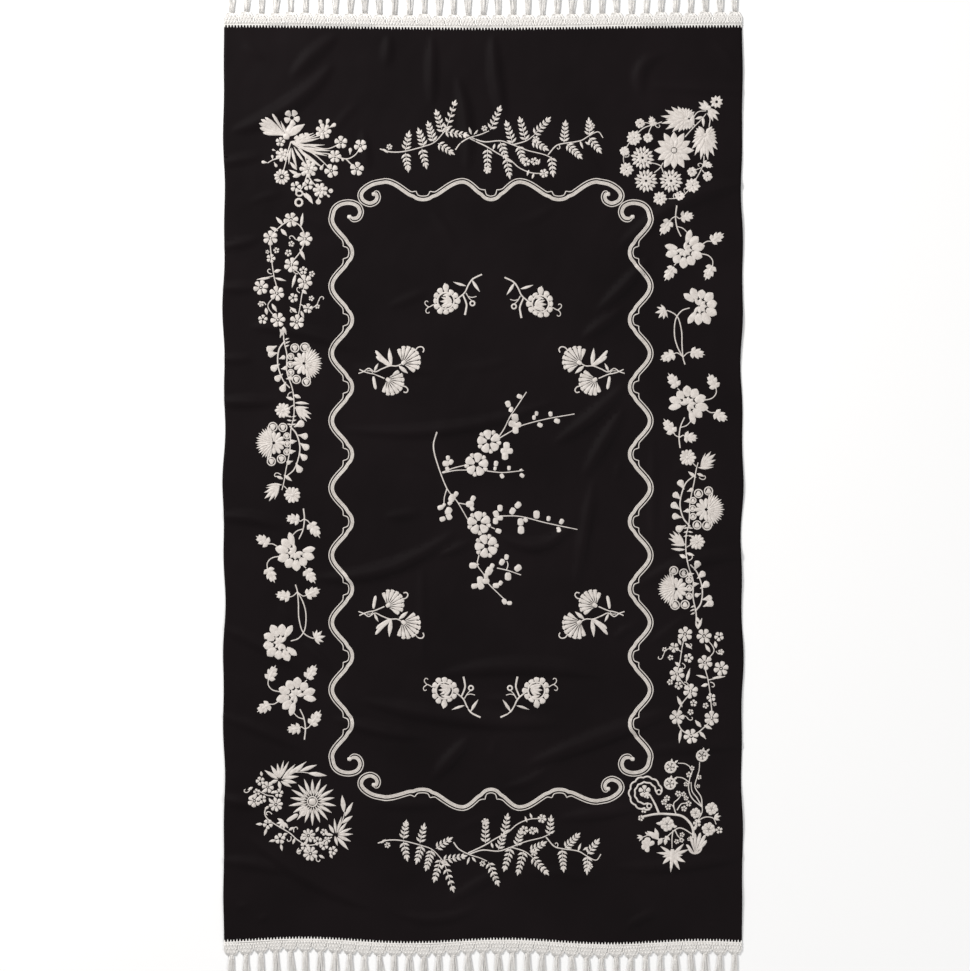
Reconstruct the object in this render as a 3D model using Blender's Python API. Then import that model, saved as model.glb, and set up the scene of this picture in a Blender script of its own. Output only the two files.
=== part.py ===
"""Embroidered shawl, laid out flat.

Metres, +Z up. The shawl lies on z = 0, its length runs along Y and its width along X.
The black panel is one wall with its creases pressed up from a flat underside. A knotted heading
with tassels lies along each end. The embroidery lies on the panel, each spray in one solid.
Sizes and tables are in millimetres.
"""

import math

import bpy
from mathutils import Vector
from mathutils.bvhtree import BVHTree
from mathutils.geometry import delaunay_2d_cdt

MM = 0.001

# Driving sizes
PANEL_WIDTH = 1036.0
PANEL_LENGTH = 1834.0
WALL = 2.0
PARTING = 0.3
EMBROIDERY_RAISE = 0.9
TASSELS = 35
LOCKS_PER_TASSEL = 3
HEADING_DEPTH = 25.0
FRINGE_REACH = 128.0

# Worked out from the driving sizes
HALF_WIDTH = PANEL_WIDTH / 2
HALF_LENGTH = PANEL_LENGTH / 2
PITCH = PANEL_WIDTH / TASSELS
SIDE_STEPS = 34
SNAP = 0.05
LEAST_BEND = 0.015
RAY_FROM = 100.0

# How the panel's edges wander as it lies: the top end dips, the bottom end waves and falls
TOP_DIP = 5.0
HEM_SWING = 4.0
HEM_PITCH = 400.0
HEM_SHIFT = 45.0
HEM_FALL = 6.0
# Waves of the long edges. Columns: swing, length, shift.
SIDE_WAVERS = ((2.0, 61.0, 1.0), (1.5, 27.0, 2.0))

# Creases. Columns: start x, start y, end x, end y, sideways bow of the middle, half width, height.
# A crease that starts or ends past 518 runs out over the side edge.
CREASES = (
    (-292, 896, -384, 811, -4, 20, 6),
    (-300, 837, -504, 703, 20, 22, 8),
    (-188, 897, -192, 835, 0, 15, 5),
    (-102, 897, -102, 755, 0, 15, 6),
    (-52, 813, -30, 627, 8, 17, 7),
    (-242, 707, -228, 627, 0, 13, 4),
    (-530, 639, -442, 655, 0, 13, 4),
    (-530, 469, -446, 489, 0, 13, 5),
    (20, 897, 42, 727, -5, 18, 8),
    (362, 861, 316, 775, -24, 18, 6),
    (334, 795, 530, 783, 0, 13, 4),
    (530, 601, 270, 471, -22, 22, 8),
    (-530, 391, -450, 391, 0, 13, 5),
    (-466, 313, -254, 265, 13, 16, 6),
    (-262, 231, -92, 225, 0, 13, 4),
    (-530, 249, -462, 249, 0, 12, 4),
    (-530, 163, -415, 163, 0, 16, 7),
    (-280, 109, 144, 165, -28, 17, 7),
    (-190, 352, -112, 384, 0, 13, 3),
    (332, 449, 228, 343, 3, 18, 8),
    (282, 349, 198, 289, 0, 18, 7),
    (288, 199, 142, 79, 7, 20, 8),
    (282, 149, 202, 13, 0, 20, 8),
    (222, 7, 186, -207, 0, 17, 7),
    (340, 93, 340, -137, 0, 13, 4),
    (34, -105, 182, -79, -32, 18, 8),
    (310, -205, 530, -143, 18, 20, 8),
    (262, -313, 316, -283, 6, 13, 5),
    (334, -323, 408, -267, 0, 13, 4),
    (-86, -383, 254, -385, 18, 22, 9),
    (0, -429, 164, -441, 0, 14, 4),
    (-530, -67, -402, -87, 8, 16, 7),
    (-336, -189, -56, -97, -28, 20, 9),
    (-92, -147, -22, -117, 0, 12, 5),
    (-196, -67, -126, -59, 0, 13, 4),
    (-122, -165, -120, -360, 0, 13, 4),
    (-530, -285, -362, -371, 5, 16, 5),
    (-356, -317, -300, -377, 0, 13, 5),
    (-246, -433, 160, -480, -13, 22, 9),
    (-300, -470, -110, -508, -5, 16, 7),
    (-530, -463, -362, -531, 4, 15, 5),
    (-24, -507, -100, -591, 0, 20, 8),
    (-530, -629, -444, -645, 0, 15, 6),
    (-216, -639, -76, -637, -4, 15, 5),
    (-468, -705, -222, -849, -14, 18, 7),
    (-530, -755, -396, -777, 6, 16, 6),
    (-176, -857, -6, -843, -21, 14, 5),
    (-68, -835, 52, -765, 0, 16, 5),
    (90, -563, 384, -453, 0, 24, 10),
    (316, -539, 530, -523, 5, 18, 6),
    (40, -609, 140, -561, -10, 14, 5),
    (150, -671, 310, -649, 0, 18, 7),
    (260, -767, 530, -743, -8, 18, 6),
    (284, -893, 366, -855, 8, 14, 5),
)
CREASE_STATION = 62.0
CREASE_WIDTH_POWER = 0.4
CREASE_HEIGHT_POWER = 0.7
CREASE_SECTION_POWER = 1.5
CREASE_LANES = (-1.0, -0.45, 0.0, 0.45, 1.0)
NARROW_LANES = (-1.0, 0.0, 1.0)
NARROW = 18

# The scroll frame round the field: middle of the strokes, and the waves along them
FRAME_X = 16.0
FRAME_HALF_WIDTH = 299.0
FRAME_TOP = 587.0
FRAME_BOTTOM = -631.0
FRAME_SIDE_TOP = 529.0
FRAME_SIDE_BOTTOM = -541.0
FRAME_BAND = 11.0
SIDE_WAVES = 8
SIDE_SWING = 20.0
END_SWING = 17.5
END_TURNS = (212.0, 136.0, 57.0, 0.0)
VOLUTE_START = 27.0
VOLUTE_END = 9.0
VOLUTE_SWEEP = math.radians(385.0)
VOLUTE_STEPS = 11
VOLUTE_EASE = 0.8
STROKE_STEP = 18.0
LEAST_STEPS = 3

# Sprays of embroidery, each about its own middle. Stems are lines of points.
# Columns of the flowers: x, y, radius, corners.
# Columns of the leaves: x of the root, y of the root, x of the tip, y of the tip, width.
STEM_WIDTH = 4.5
LEAF_BELLY_AT = 0.45
GARLAND = {
    "stems": (
        ((2, 110), (-34, 84), (-40, 40), (-32, -10), (-26, -70), (-14, -118)),
        ((2, 110), (32, 74), (16, 24), (30, -14), (16, -50), (14, -94)),
        ((-58, -25), (-30, -36)),
        ((16, -50), (42, -56)),
    ),
    "flowers": (
        (2, 110, 15, 6), (-39, 74, 15, 5), (32, 72, 15, 5), (6, 20, 14, 5), (30, -14, 15, 6),
        (-58, -25, 13, 5), (-27, -40, 14, 5), (-24, -90, 15, 5), (14, -94, 15, 6), (42, -56, 10, 5),
    ),
    "leaves": ((-16, -108, -14, -140, 12), (-40, 44, -54, 22, 9), (18, 30, 40, 22, 9)),
}
CHAIN = {
    "stems": (((-4, 164), (-8, 120), (0, 60), (0, 10), (-6, -40), (-2, -90), (6, -151)),),
    "flowers": ((22, 112, 33, 9), (-15, 18, 16, 7), (-26, -48, 33, 9), (6, -151, 16, 7)),
    "leaves": (
        (-8, 142, -36, 138, 12), (-8, 124, -44, 108, 13), (-6, 100, -40, 80, 13),
        (0, 32, 44, 0, 24), (-6, -22, 28, -32, 12), (-6, -42, 36, -56, 13),
        (-4, -64, 32, -84, 13), (0, -112, -48, -162, 24),
    ),
}
LOTUS = {
    "stems": (
        ((15, 87), (8, 58), (0, 0)), ((0, 0), (-52, 20)), ((0, 0), (-40, -38)), ((0, 0), (24, -36)),
    ),
    "flowers": ((-2, -2, 40, 8),),
    "leaves": (
        (8, 60, -16, 72, 20), (8, 56, 46, 40, 24), (-42, 16, -76, 28, 24),
        (-34, -30, -56, -56, 24), (20, -28, 36, -60, 24),
    ),
}
LOTUS_BUD = {
    "stems": (((23, 113), (28, 86), (46, 50), (40, 18), (0, 0)), ((40, 18), (73, 10))),
    "flowers": ((-4, -4, 38, 8), (73, 10, 14, 6)),
    "leaves": ((26, 92, -10, 92, 24), (28, 86, 66, 100, 24)),
}
FERN = {
    "stems": (
        ((-224, -6), (-182, -14), (-140, -6), (-96, 4), (-45, 12), (0, 8), (50, 2), (84, 18),
         (106, 40)),
        ((50, 2), (78, -12), (108, -22), (150, 4), (196, 18), (220, 8)),
        ((-45, 12), (-8, -6), (22, -24), (70, -48)),
    ),
    "flowers": (),
    "leaves": (
        (-178, -14, -168, 24, 20), (-120, -2, -112, 64, 24), (-96, 4, -74, 90, 26), (0, 8, 14, 78, 24),
        (30, 6, 38, 44, 20), (60, 4, 68, 58, 22), (92, 24, 112, 66, 22), (140, 0, 148, 52, 22),
        (188, 16, 198, 54, 22), (-172, -14, -172, -50, 20), (-136, -6, -134, -46, 20),
        (-90, 4, -78, -22, 18), (-14, -4, -12, -56, 22), (16, -20, 26, -66, 22), (62, -44, 78, -72, 20),
        (108, -22, 124, -60, 22), (166, 8, 172, -30, 22), (214, 10, 224, -18, 20),
    ),
}
BOUQUET = {
    "stems": (
        ((-38, 30), (28, 53)), ((-38, 30), (50, 4), (98, 22)), ((-38, 30), (42, -28), (94, -24)),
        ((-38, 30), (-56, -36)), ((-38, 30), (20, -64)), ((-20, -18), (-20, -88)),
    ),
    "flowers": (
        (28, 53, 15, 6), (62, 24, 14, 5), (100, 22, 14, 5), (42, -28, 14, 5), (94, -24, 14, 5),
        (-8, -20, 20, 7), (-60, 2, 15, 6), (-54, -40, 16, 6), (20, -64, 16, 6), (-20, -88, 10, 5),
    ),
    "leaves": ((-38, 30, -104, 78, 24), (-38, 30, -100, 50, 16), (-50, 6, -76, 4, 12)),
}
WREATH = {
    "stems": (
        ((-61, 54), (-72, 24), (-90, -10), (-86, -44), (-58, -84), (-21, -96), (18, -92), (46, -72),
         (74, -52)),
        ((76, -50), (72, 18), (82, 86)),
        ((8, 0), (16, 60)), ((26, 60), (66, 44)), ((8, 0), (-50, -12)), ((-47, -62), (0, -8)),
        ((4, -10), (0, -60)),
    ),
    "flowers": (
        (8, 0, 34, 9), (-55, -14, 23, 8), (-47, -62, 23, 8), (2, -63, 23, 8), (19, 60, 26, 7),
        (70, 18, 26, 7), (84, 90, 22, 6), (-72, 24, 13, 5), (-88, -40, 13, 5), (-21, -96, 13, 5),
         (46, -72, 14, 5),
        (76, -52, 10, 5), (-61, 54, 10, 5),
    ),
    "leaves": ((-66, 40, -34, 58, 14),),
}
SUN_WREATH = {
    "stems": (
        ((24, 86), (-20, 82), (-64, 62), (-90, 26), (-88, -8), (-68, -36), (-40, -62), (12, -70), (44, -74)),
        ((44, -74), (76, -52), (92, -18), (88, 14)),
        ((23, 16), (-40, -26), (-70, -30)),
    ),
    "flowers": (
        (23, 16, 44, 14), (-68, 50, 14, 5), (-94, 18, 14, 5), (-70, 18, 14, 5), (-74, -28, 14, 5),
        (-45, -60, 15, 6), (12, -58, 14, 5), (14, -80, 13, 5), (46, -70, 14, 5), (74, -50, 18, 6),
    ),
    "leaves": (
        (10, 84, 48, 84, 16), (-30, 76, -34, 104, 16), (4, 84, -2, 104, 14), (88, 8, 86, 50, 15),
        (92, -18, 112, 0, 15), (84, -40, 112, -56, 15), (60, -62, 72, -88, 14),
    ),
}
BRANCH = {
    "stems": (
        ((-77, -18), (-36, -10), (0, -15), (24, -34), (32, -72)),
        ((8, -20), (42, 6), (50, 60), (46, 104)),
        ((47, 40), (14, 66), (-20, 82)), ((44, 20), (14, 44), (-19, 49)),
        ((-36, -10), (-66, 8), (-70, 32)), ((24, -34), (56, -41)), ((28, -50), (-13, -94)),
        ((-10, -14), (-34, -46), (-66, -70)), ((42, 6), (62, -1)), ((8, -20), (20, 0), (-4, 16)),
    ),
    "flowers": (
        (-70, 34, 26, 7), (-20, 82, 14, 6), (-19, 49, 13, 6), (46, 104, 14, 6), (-4, 16, 14, 5),
        (31, -10, 13, 5), (62, -1, 13, 5), (56, -41, 13, 5), (34, -72, 13, 5), (-13, -94, 28, 7),
        (-66, -70, 14, 5),
    ),
    "leaves": ((-30, -40, -58, -44, 14),),
}
ROSE_SPRIG = {
    "stems": (
        ((0, 0), (34, 12), (58, 34), (70, 53)), ((58, 34), (56, 0)), ((-20, -8), (-42, -12), (-38, -30)),
    ),
    "flowers": ((0, 0, 28, 8), (56, -2, 9, 5)),
    "leaves": ((52, 28, 18, 38, 9), (36, 14, 42, -22, 9)),
}
CARNATION_PAIR = {
    "stems": (((-41, -7), (-12, 0), (36, 20)), ((-20, -3), (8, -26))),
    "flowers": ((38, 22, 24, 8), (8, -28, 22, 8)),
    "leaves": ((-12, 0, -16, 26, 9), (-24, -4, -26, -32, 9), (4, 8, -4, 38, 14)),
}
BLOSSOM_BRANCH = {
    "stems": (
        ((-106, 136), (-112, 106), (-96, 54), (-61, -7), (-22, -46), (-8, -92), (-2, -142), (33, -203)),
        ((-98, 60), (-26, 71), (68, 61)), ((-26, 71), (-2, 117), (40, 142), (73, 215)),
        ((32, 136), (100, 160), (169, 172)), ((-22, -46), (60, -38), (174, -59)),
        ((-2, -142), (60, -150)), ((-66, 0), (-83, -27)), ((-2, 117), (34, 98)), ((-2, -142), (-18, -166)),
    ),
    "flowers": (
        (-26, 71, 23, 6), (-2, 117, 23, 6), (-22, -46, 23, 6), (-8, -92, 23, 6), (34, 98, 14, 5),
        (52, 162, 12, 5), (16, -40, 14, 5), (0, -142, 13, 5), (-18, -166, 13, 5), (-83, -27, 14, 5),
        (60, -150, 8, 5), (33, -203, 9, 5), (100, 160, 8, 4), (136, 168, 7, 4), (68, 61, 8, 4),
        (100, -44, 8, 4), (140, -53, 7, 4),
    ),
    "leaves": (),
}

# Where each spray lies. Columns: name, spray, x, y, turned half round, flipped in x, flipped in y.
PLACES = (
    ("garland_left", GARLAND, -386, 417, 0, 0, 0),
    ("carnation_chain_left", CHAIN, -386, 127, 0, 0, 0),
    ("lotus_left_1", LOTUS, -374, -137, 0, 0, 0),
    ("lotus_left_2", LOTUS_BUD, -398, -315, 0, 0, 0),
    ("lotus_left_3", LOTUS, -372, -425, 0, 0, 1),
    ("garland_right", GARLAND, 418, -395, 1, 0, 0),
    ("carnation_chain_right", CHAIN, 414, -98, 1, 0, 0),
    ("lotus_right_1", LOTUS, 409, 158, 1, 0, 0),
    ("lotus_right_2", LOTUS_BUD, 427, 351, 1, 0, 0),
    ("lotus_right_3", LOTUS, 402, 468, 1, 0, 1),
    ("fern_top", FERN, 18, 677, 0, 0, 0),
    ("fern_bottom", FERN, 14, -727, 0, 0, 1),
    ("bouquet_corner", BOUQUET, -346, 651, 0, 0, 0),
    ("wreath_corner", WREATH, 374, 667, 0, 0, 0),
    ("sun_wreath_corner", SUN_WREATH, -362, -653, 0, 0, 0),
    ("branch_corner", BRANCH, 394, -649, 0, 0, 0),
    ("rose_sprig_1", ROSE_SPRIG, -74, 365, 0, 0, 0),
    ("rose_sprig_2", ROSE_SPRIG, 115, 359, 0, 1, 0),
    ("rose_sprig_3", ROSE_SPRIG, -77, -414, 0, 0, 1),
    ("rose_sprig_4", ROSE_SPRIG, 107, -414, 0, 1, 1),
    ("carnation_pair_1", CARNATION_PAIR, -186, 231, 0, 0, 0),
    ("carnation_pair_2", CARNATION_PAIR, 220, 231, 0, 1, 0),
    ("carnation_pair_3", CARNATION_PAIR, -186, -267, 0, 0, 1),
    ("carnation_pair_4", CARNATION_PAIR, 220, -267, 0, 1, 1),
    ("blossom_branch", BLOSSOM_BRANCH, 14, -33, 0, 0, 0),
)

# The knotted heading and its tassels
VALLEY_DEPTH = 17.0
ROOT_WIDTH = 3.0
LOCK_SPREAD_BELLY = 2.2
LOCK_SPREAD_TIP = 3.0
BELLY_AT = 0.55
BELLY_HALF_WIDTH = 2.5
BELLY_LOW = 0.7
BELLY_HIGH = 4.4
TIP_HEIGHT = 1.4
# The tassels' ends are uneven by up to six steps, in an order that repeats after seven
UNEVEN_STEP = 1.3
UNEVEN_STRIDE = 5
UNEVEN_COUNT = 7
# How the tassels lean. Columns: swing, change from one tassel to the next.
LEANS = ((3.5, 0.9), (1.5, 2.3))


def end_line(x, side):
    """Where the panel's end lies at x: side is 1 for the top end and -1 for the bottom end."""
    if side > 0:
        return HALF_LENGTH - TOP_DIP * math.cos(math.pi * x / PANEL_WIDTH) ** 2
    wave = HEM_SWING * math.cos(2 * math.pi * (x - HEM_SHIFT) / HEM_PITCH)
    return -HALF_LENGTH + wave - HEM_FALL * x / PANEL_WIDTH


def side_line(y, side):
    """Where the panel's long edge lies at y: side is -1 for the left edge and 1 for the right."""
    wander = sum(swing * math.sin(y / length + side * shift) for swing, length, shift in SIDE_WAVERS)
    fade = math.sqrt(math.sin(math.pi * (y + HALF_LENGTH) / PANEL_LENGTH))
    return side * HALF_WIDTH + wander * fade


def panel_outline():
    """The panel's outline, counter-clockwise from the bottom left corner."""
    across = [-HALF_WIDTH + i * PITCH for i in range(TASSELS + 1)]
    along = [i / SIDE_STEPS for i in range(1, SIDE_STEPS)]
    outline = [(x, end_line(x, -1)) for x in across]
    for t in along:
        y = -HALF_LENGTH + t * PANEL_LENGTH
        outline.append((side_line(y, 1), y))
    outline += [(x, end_line(x, 1)) for x in reversed(across)]
    for t in reversed(along):
        y = -HALF_LENGTH + t * PANEL_LENGTH
        outline.append((side_line(y, -1), y))
    return outline


class Crease:
    """A soft ridge along an arc, which narrows and sinks to nothing at both ends."""

    def __init__(self, x0, y0, x1, y1, bow, half_width, height):
        self.start = Vector((x0, y0))
        self.chord = Vector((x1 - x0, y1 - y0))
        self.left = Vector((-self.chord.y, self.chord.x)).normalized()
        self.bow = bow
        self.half_width = half_width
        self.height = height
        self.steps = max(2, round(self.chord.length / CREASE_STATION))

    def middle(self, t):
        return self.start + self.chord * t + self.left * (4.0 * self.bow * t * (1.0 - t))

    def across(self, t):
        slope = self.chord + self.left * (4.0 * self.bow * (1.0 - 2.0 * t))
        return Vector((-slope.y, slope.x)).normalized()

    def width_at(self, t):
        return self.half_width * math.sin(math.pi * t) ** CREASE_WIDTH_POWER

    def height_at(self, point):
        """How high the ridge stands at a point of the panel."""
        t = (point - self.start).dot(self.chord) / self.chord.length_squared
        if not 0.0 < t < 1.0:
            return 0.0
        offset = abs((point - self.middle(t)).dot(self.across(t))) / self.width_at(t)
        if offset >= 1.0:
            return 0.0
        along = math.sin(math.pi * t) ** CREASE_HEIGHT_POWER
        return self.height * along * (1.0 - offset ** 2) ** CREASE_SECTION_POWER

    def lanes(self):
        """Lines along the ridge: its two feet, its flanks and its crest."""
        for lane in NARROW_LANES if self.half_width < NARROW else CREASE_LANES:
            line = [self.middle(0.0)]
            for i in range(1, self.steps):
                t = i / self.steps
                line.append(self.middle(t) + self.across(t) * self.width_at(t) * lane)
            line.append(self.middle(1.0))
            yield line


RIDGES = [Crease(*row) for row in CREASES]


def underside(point):
    """Height of the panel's underside: flat, but for the creases."""
    return max(ridge.height_at(point) for ridge in RIDGES)


def triangulate(points, edges, faces):
    """Triangles of the outlines given as faces, or of all that the edges span where there are none."""
    whole = 1 if faces else 0
    verts, _, triangles, _, _, _ = delaunay_2d_cdt(points, edges, faces, whole, SNAP)
    return verts, triangles


def is_inside(point, outline):
    inside = False
    for (x0, y0), (x1, y1) in zip(outline, list(outline[1:]) + [outline[0]]):
        if (y0 > point.y) != (y1 > point.y) and point.x < x0 + (point.y - y0) * (x1 - x0) / (y1 - y0):
            inside = not inside
    return inside


def border_edges(triangles):
    """Directed edges that only one triangle has."""
    directed = {(tri[i], tri[(i + 1) % 3]) for tri in triangles for i in range(3)}
    return sorted((a, b) for a, b in directed if (b, a) not in directed)


def border_of(shapes):
    """Lines round the union of overlapping outlines."""
    points = []
    faces = []
    for shape in shapes:
        faces.append(list(range(len(points), len(points) + len(shape))))
        points.extend(Vector(p) for p in shape)
    verts, triangles = triangulate(points, [], faces)
    return [(verts[a], verts[b]) for a, b in border_edges(triangles)]


def fill(shapes, lines):
    """Triangles over the union of the shapes, with edges along the lines that cross it."""
    points = []
    edges = []
    for line in border_of(shapes) + lines:
        edges.extend((len(points) + i, len(points) + i + 1) for i in range(len(line) - 1))
        points.extend(Vector(p) for p in line)
    verts, triangles = triangulate(points, edges, [])
    kept = []
    for tri in triangles:
        centre = sum((verts[i] for i in tri), Vector((0.0, 0.0))) / 3
        if any(is_inside(centre, shape) for shape in shapes):
            kept.append(tri)
    return verts, kept


def make_wall(name, verts, triangles, low, high, material, collection):
    """A closed wall between two heights given for each point of a flat set of triangles."""
    used = sorted({i for tri in triangles for i in tri})
    index = {old: new for new, old in enumerate(used)}
    count = len(used)
    points = [(verts[i].x * MM, verts[i].y * MM, low[i] * MM) for i in used]
    points += [(verts[i].x * MM, verts[i].y * MM, high[i] * MM) for i in used]
    faces = []
    for tri in triangles:
        a, b, c = (index[i] for i in tri)
        faces.append((c, b, a))
        faces.append((a + count, b + count, c + count))
    for a, b in border_edges(triangles):
        faces.append((index[a], index[b], index[b] + count, index[a] + count))
    return add_object(name, points, faces, material, collection)


def add_object(name, points, faces, material, collection):
    mesh = bpy.data.meshes.new(name)
    mesh.from_pydata(points, [], faces)
    mesh.validate()
    mesh.materials.append(material)
    piece = bpy.data.objects.new(name, mesh)
    collection.objects.link(piece)
    return piece


def make_material(name, colour, roughness, sheen):
    material = bpy.data.materials.new(name)
    material.use_nodes = True
    shader = material.node_tree.nodes["Principled BSDF"]
    shader.inputs["Base Color"].default_value = (*colour, 1.0)
    shader.inputs["Roughness"].default_value = roughness
    shader.inputs["Metallic"].default_value = 0.0
    shader.inputs["Sheen Weight"].default_value = sheen
    material.diffuse_color = (*colour, 1.0)
    return material


def make_panel(material, collection):
    """Make the crepe panel, and give its upper surface to what lies on it."""
    lanes = [line for ridge in RIDGES for line in ridge.lanes()]
    verts, triangles = fill([panel_outline()], lanes)
    low = [underside(point) for point in verts]
    high = [z + WALL for z in low]
    make_wall("panel", verts, triangles, low, high, material, collection)
    return PanelTop(verts, triangles, high)


class PanelTop:
    """The panel's upper surface, on which the embroidery is laid."""

    def __init__(self, verts, triangles, heights):
        self.points = [Vector((v.x, v.y, z)) for v, z in zip(verts, heights)]
        self.tree = BVHTree.FromPolygons(self.points, triangles)
        self.bends = self.bent_edges(triangles)

    def bent_edges(self, triangles):
        """Edges at which the surface changes its slope."""
        slopes = {}
        for tri in triangles:
            a, b, c = (self.points[i] for i in tri)
            normal = (b - a).cross(c - a).normalized()
            for i in range(3):
                key = frozenset((tri[i], tri[(i + 1) % 3]))
                slopes.setdefault(key, []).append(normal)
        bends = []
        for key, normals in slopes.items():
            if len(normals) == 2 and (normals[0] - normals[1]).length > LEAST_BEND:
                a, b = key
                bends.append((self.points[a].xy, self.points[b].xy))
        return bends

    def height(self, point):
        hit = self.tree.ray_cast(Vector((point.x, point.y, RAY_FROM)), Vector((0.0, 0.0, -1.0)))[0]
        return hit.z

    def bends_near(self, shapes):
        """Bent edges whose box meets the box round the shapes."""
        xs = [p[0] for shape in shapes for p in shape]
        ys = [p[1] for shape in shapes for p in shape]
        near = []
        for a, b in self.bends:
            if max(a.x, b.x) > min(xs) and min(a.x, b.x) < max(xs):
                if max(a.y, b.y) > min(ys) and min(a.y, b.y) < max(ys):
                    near.append((a, b))
        return near


def lay_on_panel(name, shapes, top, material, collection):
    """One solid of overlapping shapes, made from the panel's upper surface moved out."""
    verts, triangles = fill(shapes, top.bends_near(shapes))
    used = {i for tri in triangles for i in tri}
    low = {i: top.height(verts[i]) + PARTING for i in used}
    high = {i: z + EMBROIDERY_RAISE for i, z in low.items()}
    return make_wall(name, verts, triangles, low, high, material, collection)


def band(line, width):
    """Outline of a stroke of even width along a line."""
    left = []
    right = []
    for i, point in enumerate(line):
        before = line[max(i - 1, 0)]
        after = line[min(i + 1, len(line) - 1)]
        normal = Vector((before[1] - after[1], after[0] - before[0])).normalized() * (width / 2)
        left.append((point[0] + normal.x, point[1] + normal.y))
        right.append((point[0] - normal.x, point[1] - normal.y))
    return list(reversed(left)) + right


def volute(centre_x, centre_y, start, turn):
    """A spiral that closes from its start angle; turn is 1 anticlockwise and -1 clockwise."""
    line = []
    for i in range(VOLUTE_STEPS + 1):
        t = i / VOLUTE_STEPS
        radius = VOLUTE_START + (VOLUTE_END - VOLUTE_START) * t ** VOLUTE_EASE
        angle = start + turn * VOLUTE_SWEEP * t
        line.append((centre_x + radius * math.cos(angle), centre_y + radius * math.sin(angle)))
    return line


def half_waves(turns):
    """A line through turning points, in half waves of a cosine."""
    line = []
    for (x0, y0), (x1, y1) in zip(turns, turns[1:]):
        steps = max(LEAST_STEPS, round(math.hypot(x1 - x0, y1 - y0) / STROKE_STEP))
        for i in range(steps):
            t = i / steps
            ease = (1.0 - math.cos(math.pi * t)) / 2.0
            if abs(x1 - x0) > abs(y1 - y0):
                line.append((x0 + (x1 - x0) * t, y0 + (y1 - y0) * ease))
            else:
                line.append((x0 + (x1 - x0) * ease, y0 + (y1 - y0) * t))
    line.append(turns[-1])
    return line


def side_stroke(side):
    """A long side of the scroll frame: even waves between two volutes."""
    middle = FRAME_X + side * FRAME_HALF_WIDTH
    pitch = (FRAME_SIDE_TOP - FRAME_SIDE_BOTTOM) / (2 * SIDE_WAVES)
    turns = []
    for i in range(2 * SIDE_WAVES + 1):
        swing = SIDE_SWING if i % 2 == 0 else -SIDE_SWING
        turns.append((middle + side * swing, FRAME_SIDE_BOTTOM + i * pitch))
    outer = math.pi if side < 0 else 0.0
    centre = middle + side * (SIDE_SWING - VOLUTE_START)
    bottom = volute(centre, FRAME_SIDE_BOTTOM, outer, -side)
    top = volute(centre, FRAME_SIDE_TOP, outer, side)
    return list(reversed(bottom)) + half_waves(turns)[1:-1] + top


def end_stroke(side):
    """A short side of the scroll frame: lobes about its middle between two volutes."""
    middle = FRAME_TOP if side > 0 else FRAME_BOTTOM
    offsets = [-x for x in END_TURNS] + [x for x in reversed(END_TURNS[:-1])]
    turns = []
    for i, offset in enumerate(offsets):
        swing = END_SWING if i % 2 == 0 else -END_SWING
        turns.append((FRAME_X + offset, middle + side * swing))
    outer = math.pi / 2 * side
    centre = middle + side * (END_SWING - VOLUTE_START)
    left = volute(turns[0][0], centre, outer, side)
    right = volute(turns[-1][0], centre, outer, -side)
    return list(reversed(left)) + half_waves(turns)[1:-1] + right


def make_scroll_frame(top, material, collection):
    strokes = {
        "scroll_left": side_stroke(-1),
        "scroll_right": side_stroke(1),
        "scroll_top": end_stroke(1),
        "scroll_bottom": end_stroke(-1),
    }
    for name, line in strokes.items():
        lay_on_panel(name, [band(line, FRAME_BAND)], top, material, collection)


def flower(x, y, radius, corners):
    """A flower head's outline: one corner for each petal of the largest, fewer on a small one."""
    start = math.pi / 2
    return [(x + radius * math.cos(start + 2 * math.pi * i / corners),
             y + radius * math.sin(start + 2 * math.pi * i / corners)) for i in range(corners)]


def leaf(x0, y0, x1, y1, width):
    """A leaf's outline, widest before its middle."""
    along = Vector((x1 - x0, y1 - y0))
    side = Vector((-along.y, along.x)).normalized() * (width / 2)
    belly = Vector((x0, y0)) + along * LEAF_BELLY_AT
    return [(x0, y0), (belly.x - side.x, belly.y - side.y), (x1, y1), (belly.x + side.x, belly.y + side.y)]


def spray_shapes(spray):
    shapes = [band(line, STEM_WIDTH) for line in spray["stems"]]
    shapes += [flower(*row) for row in spray["flowers"]]
    shapes += [leaf(*row) for row in spray["leaves"]]
    return shapes


def placed(shape, x, y, turned, flip_x, flip_y):
    """A shape moved to its place, still counter-clockwise."""
    scale_x = -1 if bool(turned) != bool(flip_x) else 1
    scale_y = -1 if bool(turned) != bool(flip_y) else 1
    moved = [(x + scale_x * px, y + scale_y * py) for px, py in shape]
    return moved if scale_x * scale_y > 0 else list(reversed(moved))


def make_sprays(top, material, collection):
    for name, spray, x, y, turned, flip_x, flip_y in PLACES:
        shapes = [placed(shape, x, y, turned, flip_x, flip_y) for shape in spray_shapes(spray)]
        lay_on_panel(name, shapes, top, material, collection)


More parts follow.
